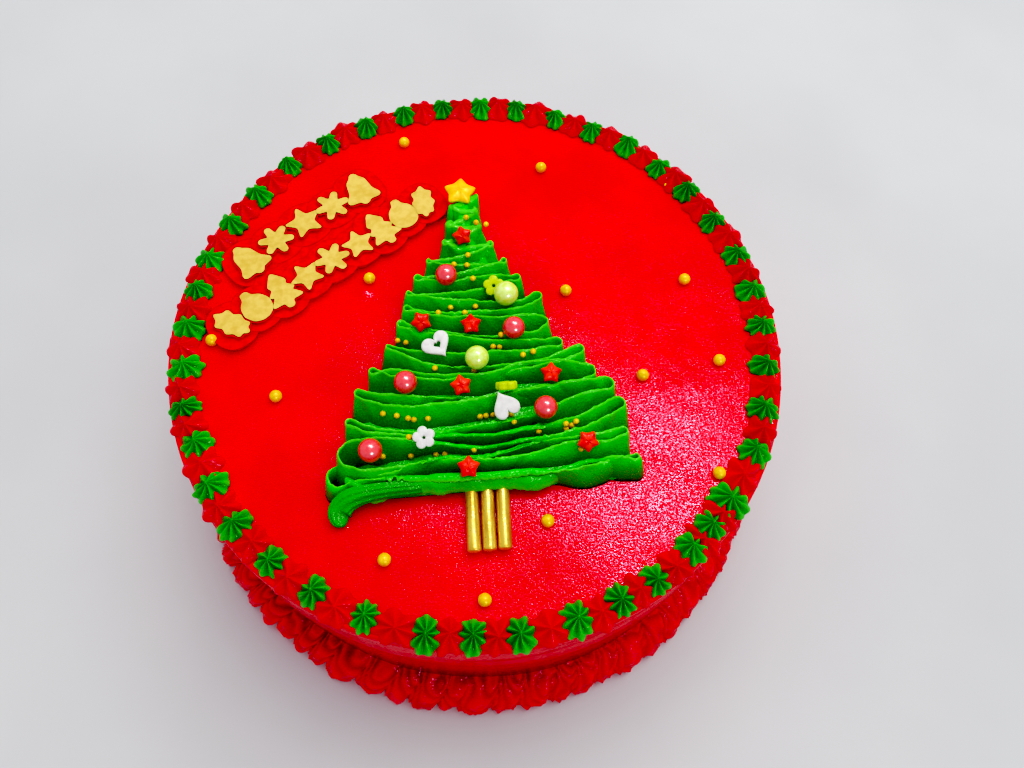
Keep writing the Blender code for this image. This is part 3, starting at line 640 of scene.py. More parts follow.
# %% [markdown]
# ## The ring of stars
#
# A star is piped by holding a star nozzle upright just above the cake, squeezing and pulling away. The
# paste flares out at the foot, each tooth of the nozzle leaves a thin ridge, and the hollows between
# the ridges are round and deep. The peak is where the paste breaks off. Seen from above the outline is
# nearly round with shallow notches, while halfway up the hollows are much deeper.
#
# So the shape is given by two lines from the peak to the foot, one along a ridge and one along a
# valley, and every point lies somewhere between the two. A sine of the angle says where. It is raised
# to a power that grows from the peak to the foot, which gives thin ridges above and blunt ends below.
# Every star draws its own size, height and twist, and its ridges are unevenly long and unevenly spaced,
# because no two stars come out alike.

# %% One piped star
# Share of the radius and share of the height, from the peak to just below the foot.
RIDGE_LINE = np.array((
    (0.01, 1.00), (0.10, 0.93), (0.24, 0.81), (0.42, 0.71), (0.60, 0.61), (0.76, 0.48), (0.89, 0.32),
    (0.98, 0.18), (1.00, 0.08), (0.95, 0.00), (0.88, -0.08),
))
VALLEY_LINE = np.array((
    (0.01, 1.00), (0.08, 0.86), (0.18, 0.68), (0.31, 0.50), (0.47, 0.38), (0.64, 0.29), (0.78, 0.21),
    (0.90, 0.14), (0.95, 0.06), (0.92, 0.00), (0.86, -0.08),
))
SHARPNESS = np.linspace(0.9, 2.8, len(RIDGE_LINE))[:, None]
PER_RIDGE = 8              # points round the star from one ridge to the next


def piped_star(draw, across, height, ridges, notch):
    """A star round the origin, its painted highlight along thin ridges and painted shade in valleys.

    Between two ridges a point goes from the ridge's line to the valley's line by sin(pi u)^p, where u
    runs from 0 to 1 and p grows from the peak to the foot, so that ridges are thin above and their
    ends are blunt. Each ridge has its own length and each valley its own notch in the outline.
    """
    lengths = draw.uniform(0.90, 1.07, ridges)
    shifts = draw.uniform(-0.09, 0.09, ridges)
    notches = draw.uniform(0.2, 1.8, ridges) * notch
    u = np.tile(np.arange(PER_RIDGE) / PER_RIDGE, ridges)
    here = np.repeat(np.arange(ridges), PER_RIDGE)
    after = (here + 1) % ridges
    angles = (here + u) * FULL_TURN / ridges + (1 - u) * shifts[here] + u * shifts[after]
    angles = angles + draw.uniform(0, FULL_TURN)
    length = (1 - u) * lengths[here] + u * lengths[after]
    weight = np.sin(math.pi * u) ** SHARPNESS
    line = RIDGE_LINE[:, None] + weight[..., None] * (VALLEY_LINE - RIDGE_LINE)[:, None]
    reach = line[..., 0] * length * (1 - weight * notches[here] * line[..., 0])
    level = line[..., 1]
    twist = draw.uniform(-0.3, 0.3) * (1 - line[..., 0])
    lean = draw.uniform(-0.6, 0.6, 2)
    x = reach * np.cos(angles + twist) * across[0] + lean[0] * level
    y = reach * np.sin(angles + twist) * across[1] + lean[1] * level
    # painted highlight along the ridges, most near their ends at the foot, and painted shade in the valleys
    ends = smooth_step(RIDGE_LINE[:, :1], 0.75, 1.0) * (RIDGE_LINE[:, 1:] > 0)
    thin = (1 - weight) ** 2 * (0.3 + 0.7 * ends)
    deep = weight ** 2 * np.sin(math.pi * np.clip(line[..., 0] / 1.05, 0, 1)) ** 0.6
    return np.stack((x, y, height * level), -1), thin, deep


RING_STRETCH = 1.8         # the ring of stars is more oval than the cake
STAR_SUNK = 0.2            # how deep the foot of a star lies in the icing


def on_ring(star, azimuth, radius):
    """Sets a star on the ring: its first axis points outwards at this azimuth from +Y, clockwise."""
    outward = math.radians(90 - azimuth)
    x = oval(outward, radius, RING_STRETCH) + star[..., 0]
    return np.stack((x * math.cos(outward) - star[..., 1] * math.sin(outward),
                     x * math.sin(outward) + star[..., 1] * math.cos(outward),
                     TOP - STAR_SUNK + star[..., 2]), -1)


# %% The green stars
STAR_RING_RADIUS = 110.0
GREEN_STAR_RADIUS = 6.2
GREEN_STAR_HEIGHT = 6.8
GREEN_STAR_NOTCH = 0.11
DOUBLE_STAR_AT = 132.8
DOUBLE_STAR_RADIUS = 7.9
GREEN_STAR_AZIMUTHS = (    # clockwise from the tree's tip, as the maker's hand spaced them
    5.2, 13.2, 22.0, 31.1, 39.8, 48.7, 57.3, 66.8, 76.3, 85.5, 93.9, 103.0, 112.4, 121.7,
    DOUBLE_STAR_AT, 139.0, 144.4, 153.0, 160.0, 167.9, 177.7, 185.4, 193.2, 203.5, 213.4, 222.5,
    231.8, 240.6, 249.6, 257.6, 266.1, 275.0, 283.7, 291.4, 300.9, 309.7, 319.4, 329.6, 338.8,
    347.8, 356.5,
)


# the least painted shade anywhere on a star
LEAST_PAINTED_SHADE = 0.45        # stars that stand this close together keep light from each other everywhere


def star_piece(name, stars, material, light, dark):
    """One piece of many stars, with a painted highlight on thin ridges and painted shade in deep valleys.

    light and dark say how strongly. The tip of a star gets a little painted highlight, its underside none.
    """
    edge = np.concatenate([with_ends(thin, start=0.3) for star, thin, deep in stars])
    painted_shade = np.concatenate([with_ends(deep) for star, thin, deep in stars])
    painted_light_and_shade = {"edge": light * edge, "painted_shade": dark * np.maximum(painted_shade, LEAST_PAINTED_SHADE)}
    bodies = gather([tube(star) for star, thin, deep in stars])
    piece(name, bodies, material, ["top_border"], painted_light_and_shade)


draw = np.random.default_rng(21)
green_stars = []
for azimuth in GREEN_STAR_AZIMUTHS:
    if azimuth == DOUBLE_STAR_AT:
        size = DOUBLE_STAR_RADIUS
    else:
        size = GREEN_STAR_RADIUS * draw.uniform(0.86, 1.06)
    across = (size * draw.uniform(0.96, 1.10), size * draw.uniform(0.90, 1.02))
    star, thin, deep = piped_star(draw, across, GREEN_STAR_HEIGHT * draw.uniform(0.9, 1.1),
                                  int(draw.integers(8, 10)), GREEN_STAR_NOTCH)
    place = on_ring(star, azimuth, STAR_RING_RADIUS + draw.uniform(-0.6, 0.6))
    green_stars.append((place, thin, deep))
# strengths of the painted highlight and the painted shade
star_piece("green_stars", green_stars, green_piped, light=0.4, dark=0.8)

# %% The red stars in between
RED_STAR_REACH = 7.0
RED_STAR_HEIGHT = 5.6
RED_STAR_NOTCH = 0.16
RED_STAR_LEAST = 4.2       # half the width of the narrowest one
red_stars = []
for index, azimuth in enumerate(GREEN_STAR_AZIMUTHS):
    following = GREEN_STAR_AZIMUTHS[(index + 1) % len(GREEN_STAR_AZIMUTHS)]
    step = (following - azimuth) % 360
    half = math.radians(step) * STAR_RING_RADIUS / 2
    across = (RED_STAR_REACH * draw.uniform(0.88, 1.08),
              max(half * draw.uniform(0.88, 1.0), RED_STAR_LEAST))
    star, thin, deep = piped_star(draw, across, RED_STAR_HEIGHT * draw.uniform(0.85, 1.15),
                                  int(draw.integers(6, 8)), RED_STAR_NOTCH)
    place = on_ring(star, azimuth + step / 2, STAR_RING_RADIUS + draw.uniform(-0.4, 0.8))
    red_stars.append((place, thin, deep))
# strengths of the painted highlight and the painted shade
star_piece("red_stars", red_stars, red_piped, light=0.35, dark=0.5)

# %% [markdown]
# ## The ruffle round the foot
#
# The foot is closed with a rope of icing. The star nozzle is held against the corner between cake and
# board and moved up and down as it goes round, so each stroke lies half over the one before. What
# shows is a row of round scallops that meet in sharp cusps, covered with thin S-shaped ridges, which
# are the marks of the nozzle's teeth.
#
# Sweeping a toothed section along the nozzle's zigzag would tie itself in knots at the tight turns. So
# the ruffle is a slope round the cake instead, from the foot to the cake's side.
# The scallops push it out, and the ridges run along lines that follow the scallops. Each scallop has
# its own width and size and its own slope of the ridges, and its one side stands a little higher, so
# that the strokes seem to overlap.

# %% The ruffle's surface
SHELLS = 72
SHELL_COLUMNS = 18         # columns of the grid in each scallop
RUFFLE_ROWS = 40
RUFFLE_RIDGES = 2.7        # ridges from the foot of the ruffle to its top
RIDGE_DEPTH = 1.5
RIDGE_POWER = 0.7          # below 1 it makes a ridge narrower than the groove beside it
# Radius beyond the cake and height in the cusps, what a scallop adds to each, and the slant in shells.
RUFFLE_LINE = np.array((
    (7.8, 0.0, 3.2, 0.0, 0.0), (8.9, 3.0, 3.4, 0.3, 0.06), (8.6, 6.5, 3.2, 0.8, 0.14),
    (7.6, 10.0, 2.6, 1.2, 0.26), (5.4, 13.6, 1.8, 1.6, 0.42), (2.2, 16.2, 1.0, 1.8, 0.55),
    (-0.8, 17.4, 0.0, 1.6, 0.60),
))


def ruffle():
    """The slope and, for each of its points, how far it is on a ridge and how far in the shade.

    Across a scallop q runs from 0 to 1 and the scallop's form is s = sqrt(1 - (2q - 1)^2). Up the slope
    t runs from 0 to 1. The ridges lie where w = ridges t + slope (q - 1/2) - strength wave(q) is whole,
    apart from a little unevenness. The wave is a skewed cosine, and each scallop draws its own slope and
    strength. A point stands out by depth (1 - |sin(pi w)|^power), less a share of the depth.
    """
    draw = np.random.default_rng(4)
    widths = draw.uniform(0.70, 1.36, SHELLS)
    swell = draw.uniform(0.65, 1.2, SHELLS)
    strength = draw.uniform(0.1, 0.7, SHELLS)
    slope = draw.uniform(0.3, 1.9, SHELLS)
    bounds = np.concatenate(([0.0], np.cumsum(widths))) * FULL_TURN / widths.sum()
    q = np.tile((np.arange(SHELL_COLUMNS) + 0.02) / SHELL_COLUMNS, SHELLS)
    shell = np.repeat(np.arange(SHELLS), SHELL_COLUMNS)
    scallop = np.sqrt(np.maximum(1 - (2 * q - 1) ** 2, 0))
    turn = bounds[shell] + q * np.diff(bounds)[shell]
    t = np.linspace(0, 1, RUFFLE_ROWS)[:, None]
    places = np.linspace(0, 1, len(RUFFLE_LINE))
    out, high, add_out, add_high, slant = (np.interp(t, places, column) for column in RUFFLE_LINE.T)
    angles = turn + slant * FULL_TURN / SHELLS
    flat = turned(120, angles, 20 * t)
    wave = np.cos(FULL_TURN * (q + 0.13 * np.sin(FULL_TURN * q)))
    w = RUFFLE_RIDGES * t + slope[shell] * (q - 0.5) - strength[shell] * wave
    w = w + 0.40 * unevenness(flat, 11, 31)
    ridge = 1 - np.abs(np.sin(math.pi * w)) ** RIDGE_POWER
    fade = smooth_step(t, 0.0, 0.10)
    below_top = smooth_step(-t, -1.0, -0.86)
    push = RIDGE_DEPTH * (ridge - 0.35) + 0.7 * (q - 0.5) + 0.35 * unevenness(flat, 4, 32)
    push = push * fade * below_top
    bulge = scallop * swell[shell]
    reach = oval(angles, CAKE_RADIUS + out) + add_out * bulge + push * (0.9 - 0.5 * t)
    level = high + add_high * bulge + push * (0.2 + 0.6 * t)
    level[0] = 0.0
    # painted shade: darker in the grooves, on the side away from the light, and most there near the cake's
    # side
    away = 0.5 - 0.5 * np.cos(angles - LIT_SIDE)
    groove = 0.30 * (1 - ridge) ** 4 * fade
    shade = groove + 0.06 * away + 0.5 * away * smooth_step(t, 0.45, 0.95)
    return turned(reach, angles, np.maximum(level, 0.0)), ridge * fade, shade


def closed_ruffle():
    """The slope joined to a plain inner wall near the cake's side and a flat underside."""
    slope, ridge, shade = ruffle()
    turn = np.arctan2(slope[-1, :, 1], slope[-1, :, 0])
    wall = oval(turn, CAKE_RADIUS - 1.4)
    inner = [turned(wall, turn, level) for level in (slope[-1, :, 2] - 0.5, 0.0)]
    none = np.zeros((2, len(turn)))
    return np.concatenate((slope, inner)), np.concatenate((ridge, none)), np.concatenate((shade, none))


rings, ridge, shade = closed_ruffle()
# the ridges get a painted highlight, and the shade is painted into the colour
piece("foot_ruffle", hoop(rings), red_piped, ["base_border"],
      {"edge": 0.7 * ridge.ravel(), "painted_shade": shade.ravel()})

# %% [markdown]
# ## The ribbon tree
#
# The tree is one long ribbon, piped with a flat nozzle held on edge and carried to and fro from the
# foot of the tree to its tip. At both ends the ribbon turns back on itself in a small teardrop loop.
# The wall leans back, towards the tip. In the middle of the lower passes it was too tall to stand and
# has flopped forward, so that its ragged free edge hangs over the pass below.
#
# The ribbon is a surface over two parameters: the distance along it, and the share of its height. The
# crest line is a smooth curve through the turns and through seven points of each pass that say how far
# it sags. The foot line follows it at a slope. Between foot and crest each cross-section is a curve
# with one control point in between, which makes a straight wall where the ribbon stands and a curl
# where it has flopped.

# %% The passes of the ribbon
TREE_FOOT_Y, TREE_TIP_Y = -60.0, 56.0
FULL_HEIGHT, TIP_HEIGHT = 12.0, 7.0
LEAN = 0.52
TURNS = (                  # where the crest turns back, right and left by turns, and the turn's radius
    (50.7, -58.6, 1.3), (-54.8, -56.0, 4.1), (47.5, -49.3, 1.5), (-51.3, -49.6, 4.6), (48.5, -38.6, 2.3),
    (-48.3, -38.2, 1.5), (45.5, -30.6, 2.0), (-45.4, -26.6, 1.6), (40.3, -24.8, 2.3), (-39.8, -18.4, 1.1),
    (36.8, -16.2, 1.4), (-34.3, -8.9, 1.1), (29.4, -12.0, 1.7), (-29.3, 0.2, 1.3), (25.6, -2.2, 2.4),
    (-27.0, 7.2, 1.3), (24.2, 8.8, 1.7), (-26.0, 13.6, 1.3), (17.2, 17.4, 1.4), (-22.4, 20.4, 1.3),
    (12.8, 26.0, 1.3), (-17.6, 27.4, 1.2), (8.4, 34.4, 1.2), (-10.8, 36.0, 1.1), (4.2, 43.4, 1.1),
    (-8.0, 45.2, 1.0), (3.0, 51.5, 1.0), (-6.6, 54.0, 1.0),
)
# How far each pass seems to sag towards the foot of the tree at these shares of its way from left to
# right, read as if the crest stood at its full height everywhere.
SAG_PLACES = (1 / 12, 1 / 6, 1 / 3, 1 / 2, 2 / 3, 5 / 6, 11 / 12)
SAGS = (
    (-8.5, -6.8, -7.9, -8.5, -9.1, -1.9, -0.5), (-4.4, -3.5, -5.5, -6.2, -5.5, -3.0, -1.5),
    (-0.7, -3.3, -0.8, -3.5, -3.8, -1.3, -2.6), (-6.0, -6.5, -5.3, -5.6, -2.2, -0.8, -0.4),
    (3.7, 2.4, -3.1, -7.8, -8.1, -7.0, -4.0), (-4.1, -5.6, -7.9, -9.1, -7.4, -3.5, -0.2),
    (-2.5, -5.4, -9.0, -8.7, -7.8, -3.2, -1.9), (-4.3, -5.8, -5.9, -4.3, -0.5, 1.0, 1.7),
    (-1.3, -3.3, -5.3, -6.5, -5.4, -4.0, -3.6), (0.6, 0.1, -2.1, -1.7, 2.9, 4.1, 2.9),
    (-2.1, -3.7, -6.7, -6.9, -5.5, -3.9, -2.9), (-3.1, -6.1, -8.2, -7.4, -5.7, -3.2, -0.6),
    (-0.4, -2.0, -3.6, -3.8, -3.5, -3.1, -2.0), (-1.1, -2.3, -2.7, -2.8, -1.7, -0.1, 0.6),
    (-0.8, -1.9, -4.2, -5.8, -6.3, -5.6, -4.6), (-0.8, -1.8, -2.2, -1.5, -0.6, 1.5, 2.2),
    (-1.0, -2.4, -4.0, -4.6, -5.3, -5.0, -3.3), (-0.7, -1.4, -2.8, -3.1, -3.2, -2.3, -0.1),
    (-0.6, -1.0, -2.0, -3.0, -3.0, -1.5, -0.8), (-0.6, -1.0, -1.5, 0.0, 1.0, 1.5, 0.8),
)
PLAIN_SAG = (-0.5, -1.0, -1.5, -1.8, -1.5, -1.0, -0.5)
# How far the middle of each pass has flopped over, 1 being all the way.
FLOPS = (1, 0.8, 0.4, 0.55, 0.6, 0.6, 0.5, 0.15, 0.4, 0.1, 0.35, 0.35, 0.25, 0.25, 0.35, 0.1, 0.3, 0.2)
PLAIN_FLOP = 0.15
# Share of its height that a flopped edge has lost, how far it hangs over its foot, and between which
# shares of the pass, for all passes but those named.
FLOPPED = (0.5, 3.0, 0.12, 0.88)
FLOPPED_FIRST = {0: (0.66, 3.2, -0.3, 0.96), 1: (0.25, 4.5, 0.05, 0.85)}
# A camera that looks down at this slope sees an edge too near by so much of what it has lost in height.
SIGHT = 0.48
# Turns that have sunk: the share of the flopped wall's form that they take, and how much lower their
# crest stands, in millimetres. It is felt over this share of the passes beside them.
SUNK_TURNS = {0: (0.3, 2.4), 1: (0.35, 4.6)}
FIRM_TURN = (0.0, 0.0)
SUNK_REACH = 0.3
RIBBON_END = (4.6, 59.0)
RIBBON_START = (-49.0, -60.6)
print("passes of the ribbon:", len(TURNS))

# %% A smooth curve through many points
CURVE_SAMPLES = 16         # fine points between two given ones


def curve_through(rows, step):
    """A smooth curve through rows of numbers, sampled at even distances along its first two columns.

    It is the centripetal Catmull-Rom curve: each stretch blends straight lines through the four
    nearest points, with knots spaced by the square root of the distance, so it never overshoots.
    """
    rows = np.asarray(rows, float)
    rows = np.vstack((2 * rows[0] - rows[1], rows, 2 * rows[-1] - rows[-2]))
    gaps = np.sqrt(np.maximum(np.linalg.norm(np.diff(rows[:, :2], axis=0), axis=1), 1e-3))
    knots = np.concatenate(([0.0], np.cumsum(gaps)))
    p0, p1, p2, p3 = (rows[k:len(rows) - 3 + k, None] for k in range(4))
    t0, t1, t2, t3 = (knots[k:len(knots) - 3 + k, None, None] for k in range(4))
    t = t1 + (t2 - t1) * (np.arange(CURVE_SAMPLES) / CURVE_SAMPLES)[None, :, None]
    a1 = ((t1 - t) * p0 + (t - t0) * p1) / (t1 - t0)
    a2 = ((t2 - t) * p1 + (t - t1) * p2) / (t2 - t1)
    a3 = ((t3 - t) * p2 + (t - t2) * p3) / (t3 - t2)
    b1 = ((t2 - t) * a1 + (t - t0) * a2) / (t2 - t0)
    b2 = ((t3 - t) * a2 + (t - t1) * a3) / (t3 - t1)
    fine = (((t2 - t) * b1 + (t - t1) * b2) / (t2 - t1)).reshape(-1, rows.shape[1])
    fine = np.vstack((fine, rows[-2]))
    along = np.concatenate(([0.0], np.cumsum(np.linalg.norm(np.diff(fine[:, :2], axis=0), axis=1))))
    even = np.arange(0.0, along[-1], step)
    return np.column_stack([np.interp(even, along, column) for column in fine.T])


print("points of a curve 3.5 mm long at steps of 1 mm:", len(curve_through(((0, 0), (3.5, 0)), 1.0)))

# %% The ribbon's control rows
FOOT_SPREAD = 1.3          # how much further out the foot of a turn stands than its crest
FLOP_EASE = 0.22           # share of a pass over which it starts or stops flopping
OVERHANG = 3.0             # of a turn


def up_the_tree(y):
    """0 at the foot of the tree and 1 at its tip."""
    return np.clip((y - TREE_FOOT_Y) / (TREE_TIP_Y - TREE_FOOT_Y), 0, 1)


def ribbon_height(y):
    """How tall the ribbon stands, less and less from the tree's foot to its tip."""
    return FULL_HEIGHT + (TIP_HEIGHT - FULL_HEIGHT) * up_the_tree(y)


def pass_rows(index, start, end):
    """Control rows along one pass, from its left end to its right end.

    Flop and drop rise and fall smoothly along the pass. Beside a turn that has sunk they are at least
    as great as the turn's own, less and less so away from it.
    """
    sags = SAGS[index] if index < len(SAGS) else PLAIN_SAG
    most = FLOPS[index] if index < len(FLOPS) else PLAIN_FLOP
    lost, overhang, flop_from, flop_to = FLOPPED_FIRST.get(index, FLOPPED)
    left_turn, right_turn = index - 1 + index % 2, index - index % 2
    rows = []
    for share, sag in zip(SAG_PLACES, sags):
        x, y = start + share * (end - start)
        flop = most * float(smooth_step(share, flop_from, flop_from + FLOP_EASE)
                            * smooth_step(-share, -flop_to, FLOP_EASE - flop_to))
        drop = lost * flop * float(ribbon_height(y))
        for turn, way in ((left_turn, share), (right_turn, 1 - share)):
            near = min(1.3 * (1 - way / SUNK_REACH), 1.0)
            turn_flop, turn_drop = SUNK_TURNS.get(turn, FIRM_TURN)
            flop = max(flop, turn_flop * near)
            drop = max(drop, turn_drop * near)
        rows.append((x, y + sag + SIGHT * drop, 0.0, flop, drop, overhang))
    return rows


def crest_rows():
    """Rows of crest x, crest y, foot spread in x, flop, drop of the crest and its overhang."""
    rows = [(*RIBBON_START, 0.0, 1.0, 8.0, 3.2)]
    before = np.array(RIBBON_START)
    for index, (x, y, radius) in enumerate(TURNS):
        here = np.array((x, y))
        side = 1 if index % 2 == 0 else -1
        rows += pass_rows(index, before, here) if side == 1 else pass_rows(index, here, before)[::-1]
        for a in np.radians((-84, -56, -28, 0, 28, 56, 84)):
            rows.append((x - side * radius + side * radius * math.cos(a), y + radius * math.sin(a),
                         side * FOOT_SPREAD * math.cos(a) ** 0.5, *SUNK_TURNS.get(index, FIRM_TURN),
                         OVERHANG))
        before = here
    rows.append((*RIBBON_END, 0.0, *FIRM_TURN, OVERHANG))
    return rows


STEP = 0.55
crest = curve_through(crest_rows(), STEP)
print("steps along the ribbon:", len(crest), "length about", round(STEP * len(crest)), "mm")

# %% The ribbon's middle surface
LEVELS = np.array((0.0, 0.12, 0.26, 0.42, 0.58, 0.72, 0.84, 0.93, 1.0))
ARCH = 1.28                # a flopped wall's control point stands this many heights above the cake


def ribbon_middle():
    """Points halfway through the ribbon, a row for each step along it and a column for each level.

    Each row is the curve (1-h)^2 F + 2h(1-h) M + h^2 C from the foot F over the control point M to
    the crest C. M lies on the straight wall where the ribbon stands, and high above the foot where
    it has flopped, which lets the crest curl over and down. Also gives the distance along the ribbon
    and the share of the way up the tree.
    """
    x, y, spread, flop, drop, overhang = crest.T
    flop = np.clip(flop, 0, 1)
    along = STEP * np.arange(len(crest))
    tall = ribbon_height(y) * (1 + 0.05 * unevenness(along[:, None], 40, 12))
    foot_y = y - LEAN * tall * (1 - flop) + overhang * flop
    foot = np.column_stack((x + spread, foot_y, np.full(len(x), TOP - 0.5)))
    top = np.column_stack((x, y, TOP + tall - drop))
    wall = (foot + top) / 2
    curled = np.column_stack((x + spread, foot_y + 1.8, TOP + ARCH * tall))
    control = wall + flop[:, None] * (curled - wall)
    h = LEVELS[None, :, None]
    middle = (1 - h) ** 2 * foot[:, None] + 2 * h * (1 - h) * control[:, None] + h ** 2 * top[:, None]
    ragged = unevenness(along[:, None], 2.4, 13) + 0.7 * unevenness(along[:, None], 8, 14)
    torn = (0.10 + 0.12 * flop) * ragged
    middle += unit(np.gradient(middle, axis=1)) * (torn[:, None] * LEVELS ** 5)[..., None]
    return middle, along, up_the_tree(y)


# %% The ribbon's two sides
def ribbon_rings():
    """Offsets the middle surface to both sides by half the thickness and rounds the free edge.

    Also gives a painted highlight on the thin free edge, and painted shade low between the walls.
    """
    middle, along, share = ribbon_middle()
    out = unit(np.cross(np.gradient(middle, axis=0), np.gradient(middle, axis=1)))
    flat = np.stack(np.broadcast_arrays(along[:, None], 9 * LEVELS[None]), -1)
    wave = 0.42 * unevenness(flat, 18, 15) * LEVELS + 0.16 * unevenness(flat, 5, 16) * LEVELS ** 0.5
    middle = middle + out * wave[..., None]
    towards_tip = smooth_step(share, 0.72, 1.0)
    foot_half, edge_half = 1.0 + 0.5 * share, 0.28 + 1.0 * towards_tip
    half = foot_half[:, None] + (edge_half - foot_half)[:, None] * LEVELS ** 0.7
    half = half * (1 + 0.12 * unevenness(flat, 7, 17))
    left = middle + out * half[..., None]
    right = middle - out * half[..., None]
    tip_up = unit(middle[:, -1] - middle[:, -2])
    tip = middle[:, -1:] + (tip_up * half[:, -1:] * 0.9)[:, None]
    # painted highlight on the free edge, painted shade towards the foot of each wall, less towards the tip
    thin = np.concatenate((LEVELS ** 14, (1.0,), LEVELS[::-1] ** 14))
    low = np.concatenate(((1 - LEVELS) ** 2.4, (0.0,), (1 - LEVELS[::-1]) ** 2.4))
    rings = np.concatenate((left, tip, right[:, ::-1]), axis=1)
    return rings, np.tile(thin, (len(along), 1)), low * (1 - smooth_step(share, 0.6, 0.9))[:, None]


CORE_ROWS, CORE_COLUMNS = 60, 32
CORE_INSET = 2.0           # how far the mound ends inside the turns
CORE_DEPTH = 0.5           # how deep it reaches into the icing under it


def core_rings():
    """A low mound under the whole tree, so that the gaps between the passes end in green.

    Towards the tip it rises almost to the crests, because there the passes run into each other.
    """
    y = np.linspace(-63.0, 56.5, CORE_ROWS)[:, None]
    right = np.array(TURNS[0::2])
    left = np.array(TURNS[1::2])
    high_x = np.interp(y, right[:, 1] - 5.0, right[:, 0]) - CORE_INSET
    low_x = np.interp(y, left[:, 1] - 5.0, left[:, 0]) + CORE_INSET
    angles = rounds(CORE_COLUMNS)
    x = (high_x + low_x) / 2 + (high_x - low_x) / 2 * squared(np.cos(angles), 0.4)
    flat = np.stack(np.broadcast_arrays(x, y), -1)
    rise = 2.0 + 4.2 * smooth_step(y, 20.0, 42.0) + 0.7 * unevenness(flat, 7, 18)
    z = TOP + np.where(np.sin(angles) > 0, rise, CORE_DEPTH) * squared(np.sin(angles), 0.7)
    return np.stack(np.broadcast_arrays(x, y, z), -1)


# %% The ribbon's start
# Centre x, y and z above the cake, width and thickness, from inside the first pass to the blunt end.
# It leans back against the first turn like the flopped wall, and lies flatter towards its end, so each
# row also has the tilt of its width in degrees.
TONGUE = (
    (-24.0, -61.9, 6.2, 5.0, 2.6, 56), (-32.0, -62.1, 6.8, 5.8, 3.2, 56), (-40.0, -62.6, 7.0, 6.4, 3.6, 54),
    (-45.6, -63.6, 6.8, 7.2, 3.9, 48), (-49.4, -65.2, 5.6, 7.8, 4.0, 36), (-51.6, -67.4, 3.8, 7.8, 3.8, 20),
    (-51.6, -69.4, 2.4, 6.6, 3.2, 8), (-50.8, -70.9, 1.7, 4.0, 2.4, 0), (-50.3, -71.6, 1.5, 1.2, 1.0, 0),
)


def tongue_rings():
    """The blunt start of the ribbon, which lies flat: an oval section along a short curved path.

    The nozzle's teeth leave eleven faint ridges along it: the section swells by a cosine of 11 a.
    """
    path = curve_through(TONGUE, 0.4)
    middle = path[:, :3] + (0, 0, TOP)
    ahead = unit(np.gradient(path[:, :2], axis=0))
    beside = np.column_stack((-ahead[:, 1], ahead[:, 0], np.zeros(len(path))))
    up = np.array((0, 0, 1))
    tilt = np.radians(path[:, 5])[:, None]
    wide = beside * np.cos(tilt) - up * np.sin(tilt)
    thick = beside * np.sin(tilt) + up * np.cos(tilt)
    angles = rounds(60)
    ridges = 1 + 0.07 * np.cos(11 * angles) * smooth_step(path[:, 4], 1.6, 3.0)[:, None]
    width = (path[:, 3] / 2)[:, None] * squared(np.cos(angles), 0.8) * ridges
    height = (path[:, 4] / 2)[:, None] * np.sin(angles) * ridges
    rings = middle[:, None] + width[..., None] * wide[:, None] + height[..., None] * thick[:, None]
    rings += 0.08 * unevenness(rings, 6, 19)[..., None] * up
    rings[..., 2] = np.maximum(rings[..., 2], TOP - 0.4)
    return rings


# %% [markdown]
# ## Pressing the candies into the tree
#
# The candies were pushed into the soft ribbon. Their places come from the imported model. A flat candy
# has pressed down whatever stood above its underside, so the points of the ribbon that would stand
# above it are moved down along the candy's own axis.

# %% Places of the candies
def leaning(tilt, turn=0.0):
    """The rotation that turns a piece about +Z and then tips its top towards -Y."""
    spin = Matrix.Rotation(math.radians(tilt), 3, "X") @ Matrix.Rotation(math.radians(turn), 3, "Z")
    return np.array(spin)


SHIFTS = {                 # how far a candy lies from the middle of its solid, in x and y
    "star_red_1": (0.7, 1.4), "star_red_2": (0.3, 0.6), "star_red_4": (0.9, 0.0), "star_red_7": (0.4, -0.7),
    "pearl_red_1": (0.0, 1.2), "pearl_red_2": (0.4, 0.7), "pearl_lime_1": (0.2, 1.3),
    "flower_lime_1": (2.2, 0.2), "flower_lime_2": (0.9, -0.3), "heart_white_1": (1.7, -0.6),
    "heart_white_2": (-1.6, 0.8),
}


def seat(node):
    """The middle of a candy: that of its solid's box, shifted, in millimetres."""
    low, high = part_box(node)
    return np.array((low + high) / 2) / MM + (*SHIFTS.get(node, (0.0, 0.0)), 0.0)


CANDIES = {                # turn about +Z, tilt towards -Y, radius, thickness
    "star_red_1": (10, 48, 3.9, 3.2), "star_red_2": (25, 34, 3.9, 3.2), "star_red_3": (0, 14, 3.9, 3.2),
    "star_red_4": (8, 24, 3.9, 3.2), "star_red_5": (-6, 16, 3.9, 3.2), "star_red_6": (34, 30, 3.9, 3.2),
    "star_red_7": (-4, 18, 3.9, 3.2), "heart_white_1": (32, 12, 5.8, 2.0),
    "heart_white_2": (205, 20, 5.0, 2.0), "flower_white_1": (10, 18, 4.0, 2.2),
    "flower_lime_1": (0, 25, 4.0, 2.2), "flower_lime_2": (0, -60, 4.0, 2.8),
    "tree_star": (-8, 0, 6.4, 3.2),
}
ON_EDGE = "flower_lime_2"  # stands on its edge, so it presses nothing down


def put(node, rings):
    """Turns and tilts a candy as it lies and moves it to its place."""
    turn, tilt = CANDIES[node][:2]
    return rings @ leaning(tilt, turn).T + seat(node)


def press(points, centre, tilt, radius, half):
    """Moves points above a candy's underside down onto it, within its radius."""
    lean = leaning(tilt)
    local = (points - centre) @ lean
    reach = np.hypot(local[..., 0], local[..., 1])
    inside = smooth_step(-reach, -(radius + 1.2), -radius)
    floor_level = 0.25 - half
    local[..., 2] -= inside * np.maximum(local[..., 2] - floor_level, 0)
    return local @ lean.T + centre


